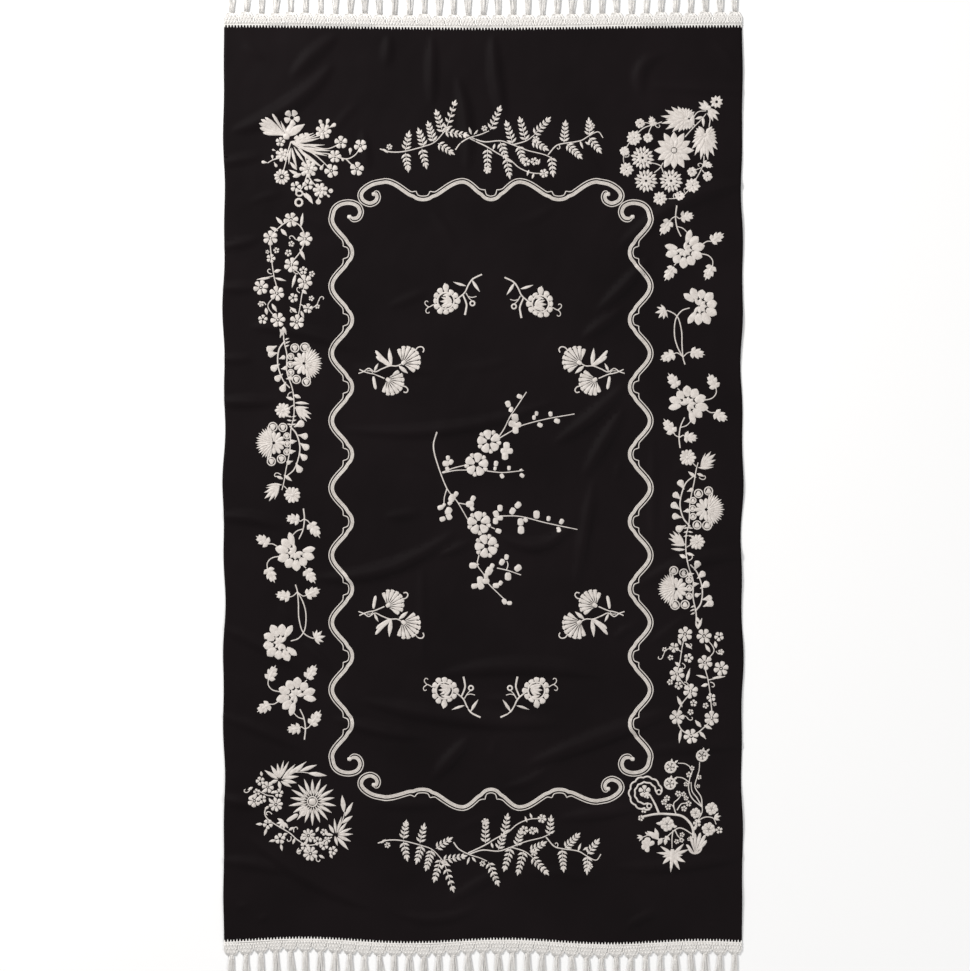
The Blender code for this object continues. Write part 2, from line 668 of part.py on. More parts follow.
def make_fringe(name, side, material, collection):
    """A knotted heading, pointed over each tassel, with the tassels' locks growing out of its edge."""
    points = []
    faces = []

    def add(x, y, z):
        points.append((x * MM, y * MM, z * MM))
        return len(points) - 1

    def pillar(x, y):
        """A lower and an upper corner of the heading."""
        return add(x, y, 0.0), add(x, y, WALL)

    def face(*corners):
        faces.append(corners if side > 0 else tuple(reversed(corners)))

    def inner_corner(i):
        x = -HALF_WIDTH + i * PITCH
        return pillar(x, end_line(x, side) + side * PARTING)

    def valley_corner(i):
        x = -HALF_WIDTH + i * PITCH
        return pillar(x, end_line(x, side) + side * VALLEY_DEPTH)

    inner = [inner_corner(i) for i in range(TASSELS + 1)]
    valleys = [valley_corner(i) for i in range(TASSELS + 1)]
    for i in range(TASSELS):
        middle = -HALF_WIDTH + (i + 0.5) * PITCH
        root_y = end_line(middle, side) + side * HEADING_DEPTH
        first = -LOCKS_PER_TASSEL / 2
        roots = [pillar(middle + (first + k) * ROOT_WIDTH, root_y) for k in range(LOCKS_PER_TASSEL + 1)]
        ring = [inner[i], inner[i + 1], valleys[i + 1]] + list(reversed(roots)) + [valleys[i]]
        face(*(high for low, high in ring))
        face(*(low for low, high in reversed(ring)))
        for a, b in ((inner[i], inner[i + 1]), (valleys[i + 1], roots[-1]), (roots[0], valleys[i])):
            face(a[0], b[0], b[1], a[1])
        lean = sum(swing * math.sin(change * i + side) for swing, change in LEANS)
        unevenness = UNEVEN_STEP * (UNEVEN_STRIDE * i % UNEVEN_COUNT)
        tip_y = side * (HALF_LENGTH + FRINGE_REACH - unevenness)
        for k in range(LOCKS_PER_TASSEL):
            place = k - (LOCKS_PER_TASSEL - 1) / 2
            add_lock(roots[k], roots[k + 1], (middle, root_y), (middle + lean, tip_y), place, add, face)
    for a, b in ((valleys[0], inner[0]), (inner[-1], valleys[-1])):
        face(a[0], b[0], b[1], a[1])
    return add_object(name, points, faces, material, collection)


def add_lock(left, right, root_middle, tip_middle, place, add, face):
    """One lock of a tassel, from its root in the heading to its tip just above the floor."""
    belly_x = root_middle[0] + (tip_middle[0] - root_middle[0]) * BELLY_AT
    belly_x += place * (ROOT_WIDTH + LOCK_SPREAD_BELLY)
    belly_y = root_middle[1] + (tip_middle[1] - root_middle[1]) * BELLY_AT
    belly = []
    for dx, z in ((-1, BELLY_LOW), (1, BELLY_LOW), (1, BELLY_HIGH), (-1, BELLY_HIGH)):
        belly.append(add(belly_x + dx * BELLY_HALF_WIDTH, belly_y, z))
    tip = add(tip_middle[0] + place * (ROOT_WIDTH + LOCK_SPREAD_TIP), tip_middle[1], TIP_HEIGHT)
    root = [left[0], right[0], right[1], left[1]]
    for k in range(4):
        after = (k + 1) % 4
        face(root[after], root[k], belly[k], belly[after])
        face(belly[after], belly[k], tip)


def main():
    for old in list(bpy.data.objects):
        bpy.data.objects.remove(old, do_unlink=True)
    collection = bpy.data.collections.new("embroidered_shawl")
    bpy.context.scene.collection.children.link(collection)
    crepe = make_material("black_crepe", (0.012, 0.010, 0.011), 0.62, 0.3)
    silk = make_material("ecru_silk", (0.70, 0.64, 0.58), 0.45, 0.2)
    yarn = make_material("cream_yarn", (0.80, 0.76, 0.71), 0.55, 0.2)
    top = make_panel(crepe, collection)
    make_scroll_frame(top, silk, collection)
    make_sprays(top, silk, collection)
    make_fringe("fringe_top", 1, yarn, collection)
    make_fringe("fringe_bottom", -1, yarn, collection)


main()
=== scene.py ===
"""Embroidered shawl: the looks of the cloth, its embroidery and its fringe. Tables are in millimetres."""

import math

import bpy
import numpy as np
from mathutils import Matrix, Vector


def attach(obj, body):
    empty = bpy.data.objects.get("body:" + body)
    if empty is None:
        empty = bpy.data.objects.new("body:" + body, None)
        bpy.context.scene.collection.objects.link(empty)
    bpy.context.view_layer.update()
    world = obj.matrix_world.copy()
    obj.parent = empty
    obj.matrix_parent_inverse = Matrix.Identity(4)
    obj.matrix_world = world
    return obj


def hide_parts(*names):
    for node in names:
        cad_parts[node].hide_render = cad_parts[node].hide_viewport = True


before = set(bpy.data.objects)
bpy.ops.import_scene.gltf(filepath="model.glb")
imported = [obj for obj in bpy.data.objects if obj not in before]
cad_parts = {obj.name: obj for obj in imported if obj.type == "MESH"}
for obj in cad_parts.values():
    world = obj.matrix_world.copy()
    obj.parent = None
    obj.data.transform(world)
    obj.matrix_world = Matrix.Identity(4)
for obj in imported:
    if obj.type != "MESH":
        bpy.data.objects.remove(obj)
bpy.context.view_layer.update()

MM = 0.001

# The camera looks straight down. The picture covers VIEW_HEIGHT of the floor.
VIEW_X = 4.0
VIEW_Y = -4.0
VIEW_HEIGHT = 1942.0
LENS = 100.0
SENSOR = 36.0

# Sizes that the solids have too
PANEL_WIDTH = 1036.0
PANEL_LENGTH = 1834.0
HALF_WIDTH = PANEL_WIDTH / 2
HALF_LENGTH = PANEL_LENGTH / 2
TOP_DIP = 5.0
HEM_SWING = 4.0
HEM_PITCH = 400.0
HEM_SHIFT = 45.0
HEM_FALL = 6.0
SIDE_WAVERS = ((2.0, 61.0, 1.0), (1.5, 27.0, 2.0))
TASSELS = 35
PITCH = PANEL_WIDTH / TASSELS
FRINGE_REACH = 128.0

# The cloth: a thin shell with its upper face CLOTH_TOP above the floor where it lies flat
CLOTH_TOP = 1.5
CLOTH_THICKNESS = 1.0
CELLS_ACROSS = 176
CELLS_ALONG = 312

# Creases. Columns: start x, start y, end x, end y, sideways bow of the middle, half width, height.
CREASES = (
    (-292, 896, -384, 811, -4, 20, 6),
    (-300, 837, -504, 703, 20, 22, 8),
    (-188, 897, -192, 835, 0, 15, 5),
    (-102, 897, -102, 755, 0, 15, 6),
    (-52, 813, -30, 627, 8, 17, 7),
    (-242, 707, -228, 627, 0, 13, 4),
    (-530, 639, -442, 655, 0, 13, 4),
    (-530, 469, -446, 489, 0, 13, 5),
    (20, 897, 42, 727, -5, 18, 8),
    (362, 861, 316, 775, -24, 18, 6),
    (334, 795, 530, 783, 0, 13, 4),
    (530, 601, 270, 471, -22, 22, 8),
    (-530, 391, -450, 391, 0, 13, 5),
    (-466, 313, -254, 265, 13, 16, 6),
    (-262, 231, -92, 225, 0, 13, 4),
    (-530, 249, -462, 249, 0, 12, 4),
    (-530, 163, -415, 163, 0, 16, 7),
    (-280, 109, 144, 165, -28, 17, 7),
    (-190, 352, -112, 384, 0, 13, 3),
    (332, 449, 228, 343, 3, 18, 8),
    (282, 349, 198, 289, 0, 18, 7),
    (288, 199, 142, 79, 7, 20, 8),
    (282, 149, 202, 13, 0, 20, 8),
    (222, 7, 186, -207, 0, 17, 7),
    (340, 93, 340, -137, 0, 13, 4),
    (34, -105, 182, -79, -32, 18, 8),
    (310, -205, 530, -143, 18, 20, 8),
    (262, -313, 316, -283, 6, 13, 5),
    (334, -323, 408, -267, 0, 13, 4),
    (-86, -383, 254, -385, 18, 22, 9),
    (0, -429, 164, -441, 0, 14, 4),
    (-530, -67, -402, -87, 8, 16, 7),
    (-336, -189, -56, -97, -28, 20, 9),
    (-92, -147, -22, -117, 0, 12, 5),
    (-196, -67, -126, -59, 0, 13, 4),
    (-122, -165, -120, -360, 0, 13, 4),
    (-530, -285, -362, -371, 5, 16, 5),
    (-356, -317, -300, -377, 0, 13, 5),
    (-246, -433, 160, -480, -13, 22, 9),
    (-300, -470, -110, -508, -5, 16, 7),
    (-530, -463, -362, -531, 4, 15, 5),
    (-24, -507, -100, -591, 0, 20, 8),
    (-530, -629, -444, -645, 0, 15, 6),
    (-216, -639, -76, -637, -4, 15, 5),
    (-468, -705, -222, -849, -14, 18, 7),
    (-530, -755, -396, -777, 6, 16, 6),
    (-176, -857, -6, -843, -21, 14, 5),
    (-68, -835, 52, -765, 0, 16, 5),
    (90, -563, 384, -453, 0, 24, 10),
    (316, -539, 530, -523, 5, 18, 6),
    (40, -609, 140, -561, -10, 14, 5),
    (150, -671, 310, -649, 0, 18, 7),
    (260, -767, 530, -743, -8, 18, 6),
    (284, -893, 366, -855, 8, 14, 5),
    # fainter wrinkles between them
    (-480, 879, -436, 847, 0, 10, 2.2),
    (464, 877, 504, 843, 0, 10, 2.2),
    (-496, -847, -466, -843, 0, 8, 2.4),
    (-452, -873, -426, -863, 0, 8, 2.4),
    (444, -887, 474, -885, 0, 8, 2.2),
    (24, -507, 18, -557, 0, 12, 3),
    (-106, 543, -56, 477, 4, 14, 2.5),
    (274, 47, 268, 7, 0, 9, 2.5),
    (84, -777, 234, -793, 6, 14, 3),
    (-406, -243, -382, -277, 0, 9, 2.5),
    (-380, 540, -300, 500, 6, 12, 1.8),
    (60, 520, 150, 560, -8, 14, 1.8),
    (-160, 60, -100, 20, 5, 12, 1.8),
    (-60, 230, 60, 250, -6, 14, 1.6),
    (380, 20, 470, 60, 6, 12, 2.0),
    (400, -420, 500, -390, -4, 12, 2.0),
    (-60, -700, 40, -660, 5, 12, 1.8),
    (-300, 700, -250, 760, 4, 12, 1.8),
    (180, 700, 240, 620, -5, 13, 2.0),
    (-470, 560, -400, 580, 3, 10, 1.8),
)
CREASE_WIDTH_POWER = 0.4
CREASE_HEIGHT_POWER = 0.7
CREASE_SECTION_POWER = 1.5

# The rolled hem of the long edges: its height, how far in its crest lies, and its half width
HEM_ROLL_HEIGHT = 0.5
HEM_ROLL_INSET = 2.0
HEM_ROLL_HALF = 2.2

# The slack of the cloth. Columns: height, wave length, direction in degrees, shift.
SLACK = (
    (0.55, 310.0, 12.0, 0.4),
    (0.45, 230.0, 75.0, 2.1),
    (0.35, 150.0, 140.0, 4.0),
    (0.25, 95.0, 38.0, 1.2),
    (0.18, 63.0, 80.0, 5.1),
    (0.12, 41.0, 165.0, 3.3),
)
SLACK_SWERVE = 1.3
SLACK_SWERVE_RATE = 2.1
SLACK_LEVEL = 0.35


def end_line(x, side):
    """Where the cloth's end lies at x, for the top end (1) or the bottom end (-1)."""
    if side > 0:
        return HALF_LENGTH - TOP_DIP * np.cos(math.pi * x / PANEL_WIDTH) ** 2
    wave = HEM_SWING * np.cos(2 * math.pi * (x - HEM_SHIFT) / HEM_PITCH)
    return -HALF_LENGTH + wave - HEM_FALL * x / PANEL_WIDTH


def side_line(y, side):
    """Where the cloth's long edge lies at y, for the left (-1) or the right (1)."""
    wander = sum(swing * np.sin(y / length + side * shift) for swing, length, shift in SIDE_WAVERS)
    inside = np.clip((y + HALF_LENGTH) / PANEL_LENGTH, 0.0, 1.0)
    return side * HALF_WIDTH + wander * np.sqrt(np.sin(math.pi * inside))


def crease_height(x, y):
    """Height of the creases over the flat cloth."""
    height = np.zeros_like(x)
    for x0, y0, x1, y1, bow, half_width, top in CREASES:
        dx, dy = x1 - x0, y1 - y0
        length = math.hypot(dx, dy)
        t = ((x - x0) * dx + (y - y0) * dy) / length ** 2
        near = (t > 0.0) & (t < 1.0)
        t = np.clip(t, 1e-6, 1.0 - 1e-6)
        left_x, left_y = -dy / length, dx / length
        middle_x = x0 + dx * t + left_x * 4.0 * bow * t * (1.0 - t)
        middle_y = y0 + dy * t + left_y * 4.0 * bow * t * (1.0 - t)
        slope_x = dx + left_x * 4.0 * bow * (1.0 - 2.0 * t)
        slope_y = dy + left_y * 4.0 * bow * (1.0 - 2.0 * t)
        across = (-(x - middle_x) * slope_y + (y - middle_y) * slope_x) / np.hypot(slope_x, slope_y)
        width = half_width * np.sin(math.pi * t) ** CREASE_WIDTH_POWER
        offset = np.clip(np.abs(across) / width, 0.0, 1.0)
        ridge = top * np.sin(math.pi * t) ** CREASE_HEIGHT_POWER
        ridge = ridge * (1.0 - offset ** 2) ** CREASE_SECTION_POWER
        height = np.maximum(height, np.where(near, ridge, 0.0))
    return height


def slack_height(x, y):
    height = np.zeros_like(x)
    for top, length, degrees, shift in SLACK:
        angle = math.radians(degrees)
        along = x * math.cos(angle) + y * math.sin(angle)
        across = -x * math.sin(angle) + y * math.cos(angle)
        height += top * np.sin(2 * math.pi * along / length + shift
                               + SLACK_SWERVE * np.sin(across / length * SLACK_SWERVE_RATE))
    total = sum(row[0] for row in SLACK)
    return np.clip(height + SLACK_LEVEL * total, 0.0, None)


def cloth_top(x, y):
    """Height of the cloth's upper face."""
    return CLOTH_TOP + crease_height(x, y) + slack_height(x, y)


def mesh_object(name, points, faces, material, uvs=None, smooth=True):
    """A mesh from arrays of points and faces in millimetres, with texture places for its points."""
    mesh = bpy.data.meshes.new(name)
    mesh.from_pydata((np.asarray(points) * MM).tolist(), [], [tuple(int(i) for i in f) for f in faces])
    if uvs is not None:
        layer = mesh.uv_layers.new(name="stitches")
        corners = np.zeros(len(mesh.loops), dtype=np.int32)
        mesh.loops.foreach_get("vertex_index", corners)
        layer.data.foreach_set("uv", np.asarray(uvs, dtype=np.float32)[corners].ravel())
    if smooth:
        mesh.polygons.foreach_set("use_smooth", [True] * len(mesh.polygons))
    mesh.materials.append(material)
    piece = bpy.data.objects.new(name, mesh)
    bpy.context.scene.collection.objects.link(piece)
    return piece


# ---- cloth ----

def cloth_grid(across, along):
    """Flat places of the cloth's grid, within its wandering edges."""
    t = np.linspace(0.0, 1.0, across + 1)
    s = np.linspace(0.0, 1.0, along + 1)
    t, s = np.meshgrid(t, s)
    x = (t - 0.5) * PANEL_WIDTH
    low, high = end_line(x, -1), end_line(x, 1)
    y = low + (high - low) * s
    left, right = side_line(y, -1), side_line(y, 1)
    return left + (right - left) * t, y


def grid_faces(across, along, first=0, flip=False):
    faces = []
    for j in range(along):
        for i in range(across):
            a = first + j * (across + 1) + i
            ring = (a, a + 1, a + across + 2, a + across + 1)
            faces.append(tuple(reversed(ring)) if flip else ring)
    return faces


def make_cloth(material):
    """The crepe as a thin closed shell, with a rolled hem along its long edges."""
    x, y = cloth_grid(CELLS_ACROSS, CELLS_ALONG)
    top = cloth_top(x, y)
    rim = np.minimum(x - x[:, :1], x[:, -1:] - x)
    top = top + HEM_ROLL_HEIGHT * np.exp(-((rim - HEM_ROLL_INSET) / HEM_ROLL_HALF) ** 2)
    upper = np.stack([x.ravel(), y.ravel(), top.ravel()], axis=1)
    wide, high = CELLS_ACROSS // 2, CELLS_ALONG // 2
    bx, by = x[::2, ::2], y[::2, ::2]
    under = top[::2, ::2] - CLOTH_THICKNESS
    lower = np.stack([bx.ravel(), by.ravel(), under.ravel()], axis=1)
    first = len(upper)
    faces = grid_faces(CELLS_ACROSS, CELLS_ALONG) + grid_faces(wide, high, first, flip=True)
    row, low_row = CELLS_ACROSS + 1, wide + 1
    for k in range(wide):
        a, b = 2 * k, first + k
        faces.append((b, b + 1, a + 2, a + 1, a))
        a, b = CELLS_ALONG * row + 2 * k, first + high * low_row + k
        faces.append((a, a + 1, a + 2, b + 1, b))
    for k in range(high):
        a, b = 2 * k * row, first + k * low_row
        faces.append((a, a + row, a + 2 * row, b + low_row, b))
        a, b = 2 * k * row + CELLS_ACROSS, first + k * low_row + wide
        faces.append((b, b + low_row, a + 2 * row, a + row, a))
    return mesh_object("shawl_cloth", np.concatenate([upper, lower]), faces, material)


# ---- materials ----

def shader_of(name, colour, roughness, sheen=0.0, sheen_roughness=0.4, sheen_tint=(1.0, 1.0, 1.0),
              specular=0.5):
    material = bpy.data.materials.new(name)
    material.use_nodes = True
    shader = material.node_tree.nodes["Principled BSDF"]
    shader.inputs["Base Color"].default_value = (*colour, 1.0)
    shader.inputs["Roughness"].default_value = roughness
    shader.inputs["Specular IOR Level"].default_value = specular
    shader.inputs["Sheen Weight"].default_value = sheen
    shader.inputs["Sheen Roughness"].default_value = sheen_roughness
    shader.inputs["Sheen Tint"].default_value = (*sheen_tint, 1.0)
    return material, shader


def node(material, kind, **settings):
    made = material.node_tree.nodes.new(kind)
    for key, value in settings.items():
        if key in made.inputs:
            made.inputs[key].default_value = value
        else:
            setattr(made, key, value)
    return made


def link(material, source, target):
    material.node_tree.links.new(source, target)


def bump_from(material, shader, height, distance, strength):
    bump = node(material, "ShaderNodeBump", Strength=strength, Distance=distance)
    link(material, height, bump.inputs["Height"])
    link(material, bump.outputs["Normal"], shader.inputs["Normal"])


def ramp(material, factor, stops):
    made = node(material, "ShaderNodeValToRGB")
    band = made.color_ramp
    band.elements[0].position, band.elements[0].color = stops[0][0], (*stops[0][1], 1.0)
    band.elements[1].position, band.elements[1].color = stops[-1][0], (*stops[-1][1], 1.0)
    for place, colour in stops[1:-1]:
        element = band.elements.new(place)
        element.color = (*colour, 1.0)
    link(material, factor, made.inputs["Fac"])
    return made.outputs["Color"]


def crepe_material():
    """Black silk crepe: a fine pebbled weave, a soft sheen and a faint warm unevenness."""
    material, shader = shader_of("crepe", (0.0062, 0.0043, 0.0048), 0.60, 0.02, 0.5, (0.8, 0.74, 0.76), 0.05)
    place = node(material, "ShaderNodeTexCoord")
    cloudy = node(material, "ShaderNodeTexNoise", Scale=4.0, Detail=3.0, Roughness=0.55)
    link(material, place.outputs["Object"], cloudy.inputs["Vector"])
    colour = ramp(material, cloudy.outputs["Fac"],
                  ((0.30, (0.0050, 0.0034, 0.0038)), (0.72, (0.0076, 0.0051, 0.0058))))
    link(material, colour, shader.inputs["Base Color"])
    pebble = node(material, "ShaderNodeTexNoise", Scale=1400.0, Detail=2.0, Roughness=0.6)
    stretch = node(material, "ShaderNodeMapping")
    stretch.inputs["Scale"].default_value = (1.0, 0.55, 1.0)
    link(material, place.outputs["Object"], stretch.inputs["Vector"])
    link(material, stretch.outputs["Vector"], pebble.inputs["Vector"])
    bump_from(material, shader, pebble.outputs["Fac"], 0.00025, 0.5)
    return material


def silk_material(name, thread, mottled_and_shaded_thread_colours, raise_mm=0.25):
    """Embroidery silk: threads run along V, and U counts them. Its colour has painted shade in the grooves
    between threads and painted light on their crests, mixed with a random mottle of tone.
    """
    material, shader = shader_of(name, mottled_and_shaded_thread_colours[1], 0.46, 0.25, 0.35, (1.0, 0.97, 0.94), 0.4)
    place = node(material, "ShaderNodeUVMap", uv_map="stitches")
    apart = node(material, "ShaderNodeSeparateXYZ")
    link(material, place.outputs["UV"], apart.inputs["Vector"])
    count = node(material, "ShaderNodeMath", operation="MULTIPLY")
    count.inputs[1].default_value = 2 * math.pi / thread
    link(material, apart.outputs["X"], count.inputs[0])
    wave = node(material, "ShaderNodeMath", operation="SINE")
    link(material, count.outputs[0], wave.inputs[0])
    half = node(material, "ShaderNodeMath", operation="MULTIPLY_ADD")
    half.inputs[1].default_value = 0.5
    half.inputs[2].default_value = 0.5
    link(material, wave.outputs[0], half.inputs[0])
    where = node(material, "ShaderNodeTexCoord")
    mottle = node(material, "ShaderNodeTexNoise", Scale=160.0, Detail=3.0, Roughness=0.6)
    link(material, where.outputs["Object"], mottle.inputs["Vector"])
    mix = node(material, "ShaderNodeMix", data_type="FLOAT")
    mix.inputs[0].default_value = 0.6
    link(material, half.outputs[0], mix.inputs[2])
    link(material, mottle.outputs["Fac"], mix.inputs[3])
    # The ramp gives the thread stripe painted shade in its grooves and painted light on its crests, and the
    # mottle gives random tone; the bump below takes the same mix.
    colour = ramp(material, mix.outputs[0], ((0.18, mottled_and_shaded_thread_colours[0]), (0.5, mottled_and_shaded_thread_colours[1]), (0.85, mottled_and_shaded_thread_colours[2])))
    link(material, colour, shader.inputs["Base Color"])
    bump_from(material, shader, mix.outputs[0], raise_mm * MM, 0.6)
    return material


# ---- embroidery stitches ----

ARCH = ((-1.0, 0.0), (-0.74, 0.66), (0.0, 1.0), (0.74, 0.66), (1.0, 0.0))
# Half widths of a petal from its root to its tip. Columns: place along it, share of its half width.
PETALS = {
    "round": ((0.0, 0.34), (0.28, 0.66), (0.55, 0.93), (0.76, 1.0), (0.92, 0.72), (1.0, 0.22)),
    "point": ((0.0, 0.42), (0.22, 0.84), (0.46, 1.0), (0.70, 0.74), (0.88, 0.36), (1.0, 0.05)),
    "leaf": ((0.0, 0.12), (0.18, 0.66), (0.42, 1.0), (0.66, 0.80), (0.86, 0.40), (1.0, 0.05)),
    "broad": ((0.0, 0.42), (0.22, 0.78), (0.46, 1.0), (0.70, 0.97), (0.88, 0.60), (1.0, 0.12)),
    "drop": ((0.0, 0.10), (0.30, 0.40), (0.56, 0.82), (0.76, 1.0), (0.92, 0.74), (1.0, 0.20)),
    "even": ((0.0, 0.55), (0.20, 0.95), (0.50, 1.0), (0.80, 1.0), (0.94, 0.70), (1.0, 0.20)),
}
SINK = 0.35
# The longest step of a stem, so that it follows the creases
STEM_STEP = 4.0


def smooth_line(points, steps=5):
    """A soft line through the points."""
    points = [Vector(p) for p in points]
    if len(points) < 3:
        return [points[0].lerp(points[-1], k / steps) for k in range(steps + 1)]
    padded = [points[0] * 2 - points[1]] + points + [points[-1] * 2 - points[-2]]
    line = []
    for a, b, c, d in zip(padded, padded[1:], padded[2:], padded[3:]):
        for k in range(steps):
            t = k / steps
            line.append(0.5 * (2 * b + (c - a) * t + (2 * a - 5 * b + 4 * c - d) * t ** 2
                               + (3 * b - a - 3 * c + d) * t ** 3))
    line.append(points[-1])
    return line


class Spray:
    """Padded stitches drawn about a spray's own middle, then laid on the cloth."""

    def __init__(self, x=0.0, y=0.0, turned=0, flip_x=0, flip_y=0):
        self.x, self.y = x, y
        self.sx = -1 if bool(turned) != bool(flip_x) else 1
        self.sy = -1 if bool(turned) != bool(flip_y) else 1
        self.points, self.faces, self.uvs = [], [], []

    def strip(self, line, halves, height=0.9, lift=0.0, threads="long"):
        first, along, last = len(self.points), 0.0, len(line) - 1
        widest = max(halves)
        for i, p in enumerate(line):
            before, after = line[max(i - 1, 0)], line[min(i + 1, last)]
            tx, ty = after[0] - before[0], after[1] - before[1]
            size = math.hypot(tx, ty) or 1.0
            tx, ty = tx / size, ty / size
            if i:
                along += math.hypot(p[0] - line[i - 1][0], p[1] - line[i - 1][1])
            half = halves[i]
            full = height * (0.4 + 0.6 * min(1.0, half / widest))
            for a, h in ARCH:
                self.points.append((p[0] - ty * a * half, p[1] + tx * a * half,
                                    lift - SINK + (full + SINK) * h))
                if threads == "long":
                    self.uvs.append((a * widest, along))
                elif threads == "slant":
                    self.uvs.append((along * 0.8 - abs(a) * half * 0.75, a * half))
                else:
                    self.uvs.append((along + a * half * 0.5, a * half))
        wide = len(ARCH)
        for i in range(last):
            for k in range(wide - 1):
                a = first + i * wide + k
                self.faces.append((a, a + 1, a + wide + 1, a + wide)[::-1])

    def petal(self, x, y, angle, length, width, kind="round", bend=0.0, height=0.9, lift=0.0, threads="long"):
        """A petal or a leaf from its root at x, y. The angle is in degrees from +X."""
        turn = math.radians(angle)
        ux, uy = math.cos(turn), math.sin(turn)
        line, halves = [], []
        for t, share in PETALS[kind]:
            out = bend * t * t
            line.append((x + ux * length * t - uy * out, y + uy * length * t + ux * out))
            halves.append(max(0.25, width / 2 * share))
        self.strip(line, halves, height, lift, threads)

    def leaf(self, x0, y0, x1, y1, width, bend=0.0, kind="leaf", height=0.8, lift=0.0):
        angle = math.degrees(math.atan2(y1 - y0, x1 - x0))
        self.petal(x0, y0, angle, math.hypot(x1 - x0, y1 - y0), width, kind, bend, height, lift, "slant")

    def stem(self, points, width=3.2, tip=1.6, height=0.7, steps=5, lift=0.0):
        longest = max(math.dist(p, q) for p, q in zip(points, points[1:]))
        line = smooth_line(points, max(steps, math.ceil(longest / STEM_STEP)))
        count = len(line) - 1
        self.strip(line, [(width + (tip - width) * i / count) / 2 for i in range(count + 1)], height, lift,
                   "cross")

    def curl(self, x, y, angle, size, turn=1, width=2.2):
        """A hooked tendril."""
        points = []
        heading = math.radians(angle)
        px, py = x, y
        for k in range(8):
            points.append((px, py))
            px += math.cos(heading) * size * 0.34
            py += math.sin(heading) * size * 0.34
            heading += turn * math.radians(10 + 9 * k)
        self.stem(points, width, width * 0.9, 0.7, 2)

    def knot(self, x, y, radius=1.6, height=1.2, lift=0.0):
        self.petal(x - radius, y, 0, 2 * radius, 2 * radius, "even", 0.0, height, lift)

    def ring(self, x, y, radius, width, start=0.0, sweep=360.0, height=0.8, lift=0.0, squeeze=1.0):
        steps = max(8, int(sweep / 26))
        line = []
        for k in range(steps + 1):
            angle = math.radians(start + sweep * k / steps)
            line.append((x + radius * math.cos(angle), y + radius * squeeze * math.sin(angle)))
        self.strip(line, [width / 2] * (steps + 1), height, lift, "cross")

    def blossom(self, x, y, radius, petals=6, turn=20.0, heart=True, lift=0.0):
        """A round five or six petalled flower with a ring of dark ground round its heart."""
        wide = 2 * math.pi * radius * 0.66 / petals * 1.02
        for k in range(petals):
            angle = turn + 360.0 * k / petals
            a = math.radians(angle)
            inner = radius * 0.24
            self.petal(x + math.cos(a) * inner, y + math.sin(a) * inner, angle, radius - inner, wide, "round",
                       0.0, 1.0, lift)
        if heart:
            self.knot(x, y, radius * 0.12, 1.0, lift)
        for k in range(petals if radius > 12 else 0):
            a = math.radians(turn + 360.0 * (k + 0.5) / petals)
            self.knot(x + math.cos(a) * radius * 0.30, y + math.sin(a) * radius * 0.30, 0.8, 1.1, lift)

    def daisy(self, x, y, radius, petals=16, turn=0.0, inner=0.30, width=1.0, start=0.0, sweep=360.0,
              kind="point", lift=0.0, heart=0.0):
        """Narrow rays round a heart, or part of such a round."""
        step = sweep / petals
        wide = 2 * math.pi * radius * 0.72 * (sweep / 360.0) / petals * width
        for k in range(petals):
            angle = turn + start + step * (k + 0.5)
            a = math.radians(angle)
            reach = radius * (1.0 if k % 2 else 0.93)
            self.petal(x + math.cos(a) * radius * inner, y + math.sin(a) * radius * inner, angle,
                       reach - radius * inner, wide, kind, 0.0, 0.9, lift)
        if heart:
            self.knot(x, y, radius * heart, 1.3, lift)

    def lobed_leaf(self, x0, y0, x1, y1, width):
        """A leaf with pointed lobes on both sides of its vein."""
        dx, dy = x1 - x0, y1 - y0
        length = math.hypot(dx, dy)
        along = math.degrees(math.atan2(dy, dx))
        for t, spread, reach in ((0.12, 74, 0.92), (0.34, 52, 1.0), (0.58, 34, 0.78)):
            for side in (-1, 1):
                self.petal(x0 + dx * t, y0 + dy * t, along + side * spread, width * 0.56 * reach,
                           length * 0.34, "point", 0.0, 0.8)
        self.petal(x0, y0, along, length, width * 0.34, "point", 0.0, 1.0)

    def lay(self, name, material, nodes):
        """Lay the stitches on the cloth and give them as one piece that stands for the nodes."""
        points = np.array(self.points)
        x = self.x + self.sx * points[:, 0]
        y = self.y + self.sy * points[:, 1]
        z = cloth_top(x, y) + points[:, 2]
        faces = self.faces if self.sx * self.sy > 0 else [f[::-1] for f in self.faces]
        piece = mesh_object(name, np.stack([x, y, z], axis=1), faces, material, np.array(self.uvs))
        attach(piece, "root")
        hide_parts(*nodes)
        return piece


# ---- the scroll frame ----

FRAME_X = 16.0
FRAME_HALF_WIDTH = 299.0
FRAME_TOP = 587.0
FRAME_BOTTOM = -631.0
FRAME_SIDE_TOP = 529.0
FRAME_SIDE_BOTTOM = -547.0
SIDE_WAVES = 8
SIDE_SWING = 20.0
END_SWING = 17.5
END_TURNS = (212.0, 136.0, 57.0, 0.0)
# How far the last crests of an end stroke lie in from its others, at its left and at its right
END_RISES = {1: (0.0, 0.0), -1: (20.0, 12.0)}
# The crook at a side stroke's end, from its last turn. Columns: towards the field, past the turn.
SIDE_CROOK = ((0, 0), (5, 19), (18, 30), (37, 33), (53, 27), (59, 14), (54, 2), (44, -1), (36, 4))
# The crook at an end stroke's end, from its last crest. Columns: along the end, in from the crest.
END_CROOK = ((0, 0), (24, 5), (42, 16), (49, 28), (44, 40), (30, 46), (18, 41), (14, 32), (17, 24), (22, 26))
CROOK_STEPS = 5
STROKE_STEP = 2.5
# The rows of stitches side by side. Columns: offset towards the outside, width, height.
SCROLL_ROWS = ((5.0, 2.3, 0.9), (0.4, 2.4, 0.9), (-1.9, 2.4, 1.0), (-4.2, 2.4, 0.9))
CUSP_FROM_TURN = 19.0
CUSP_REACH = 6.5
CUSP_HALF = 9.0
CUSP_LEAN = 0.25


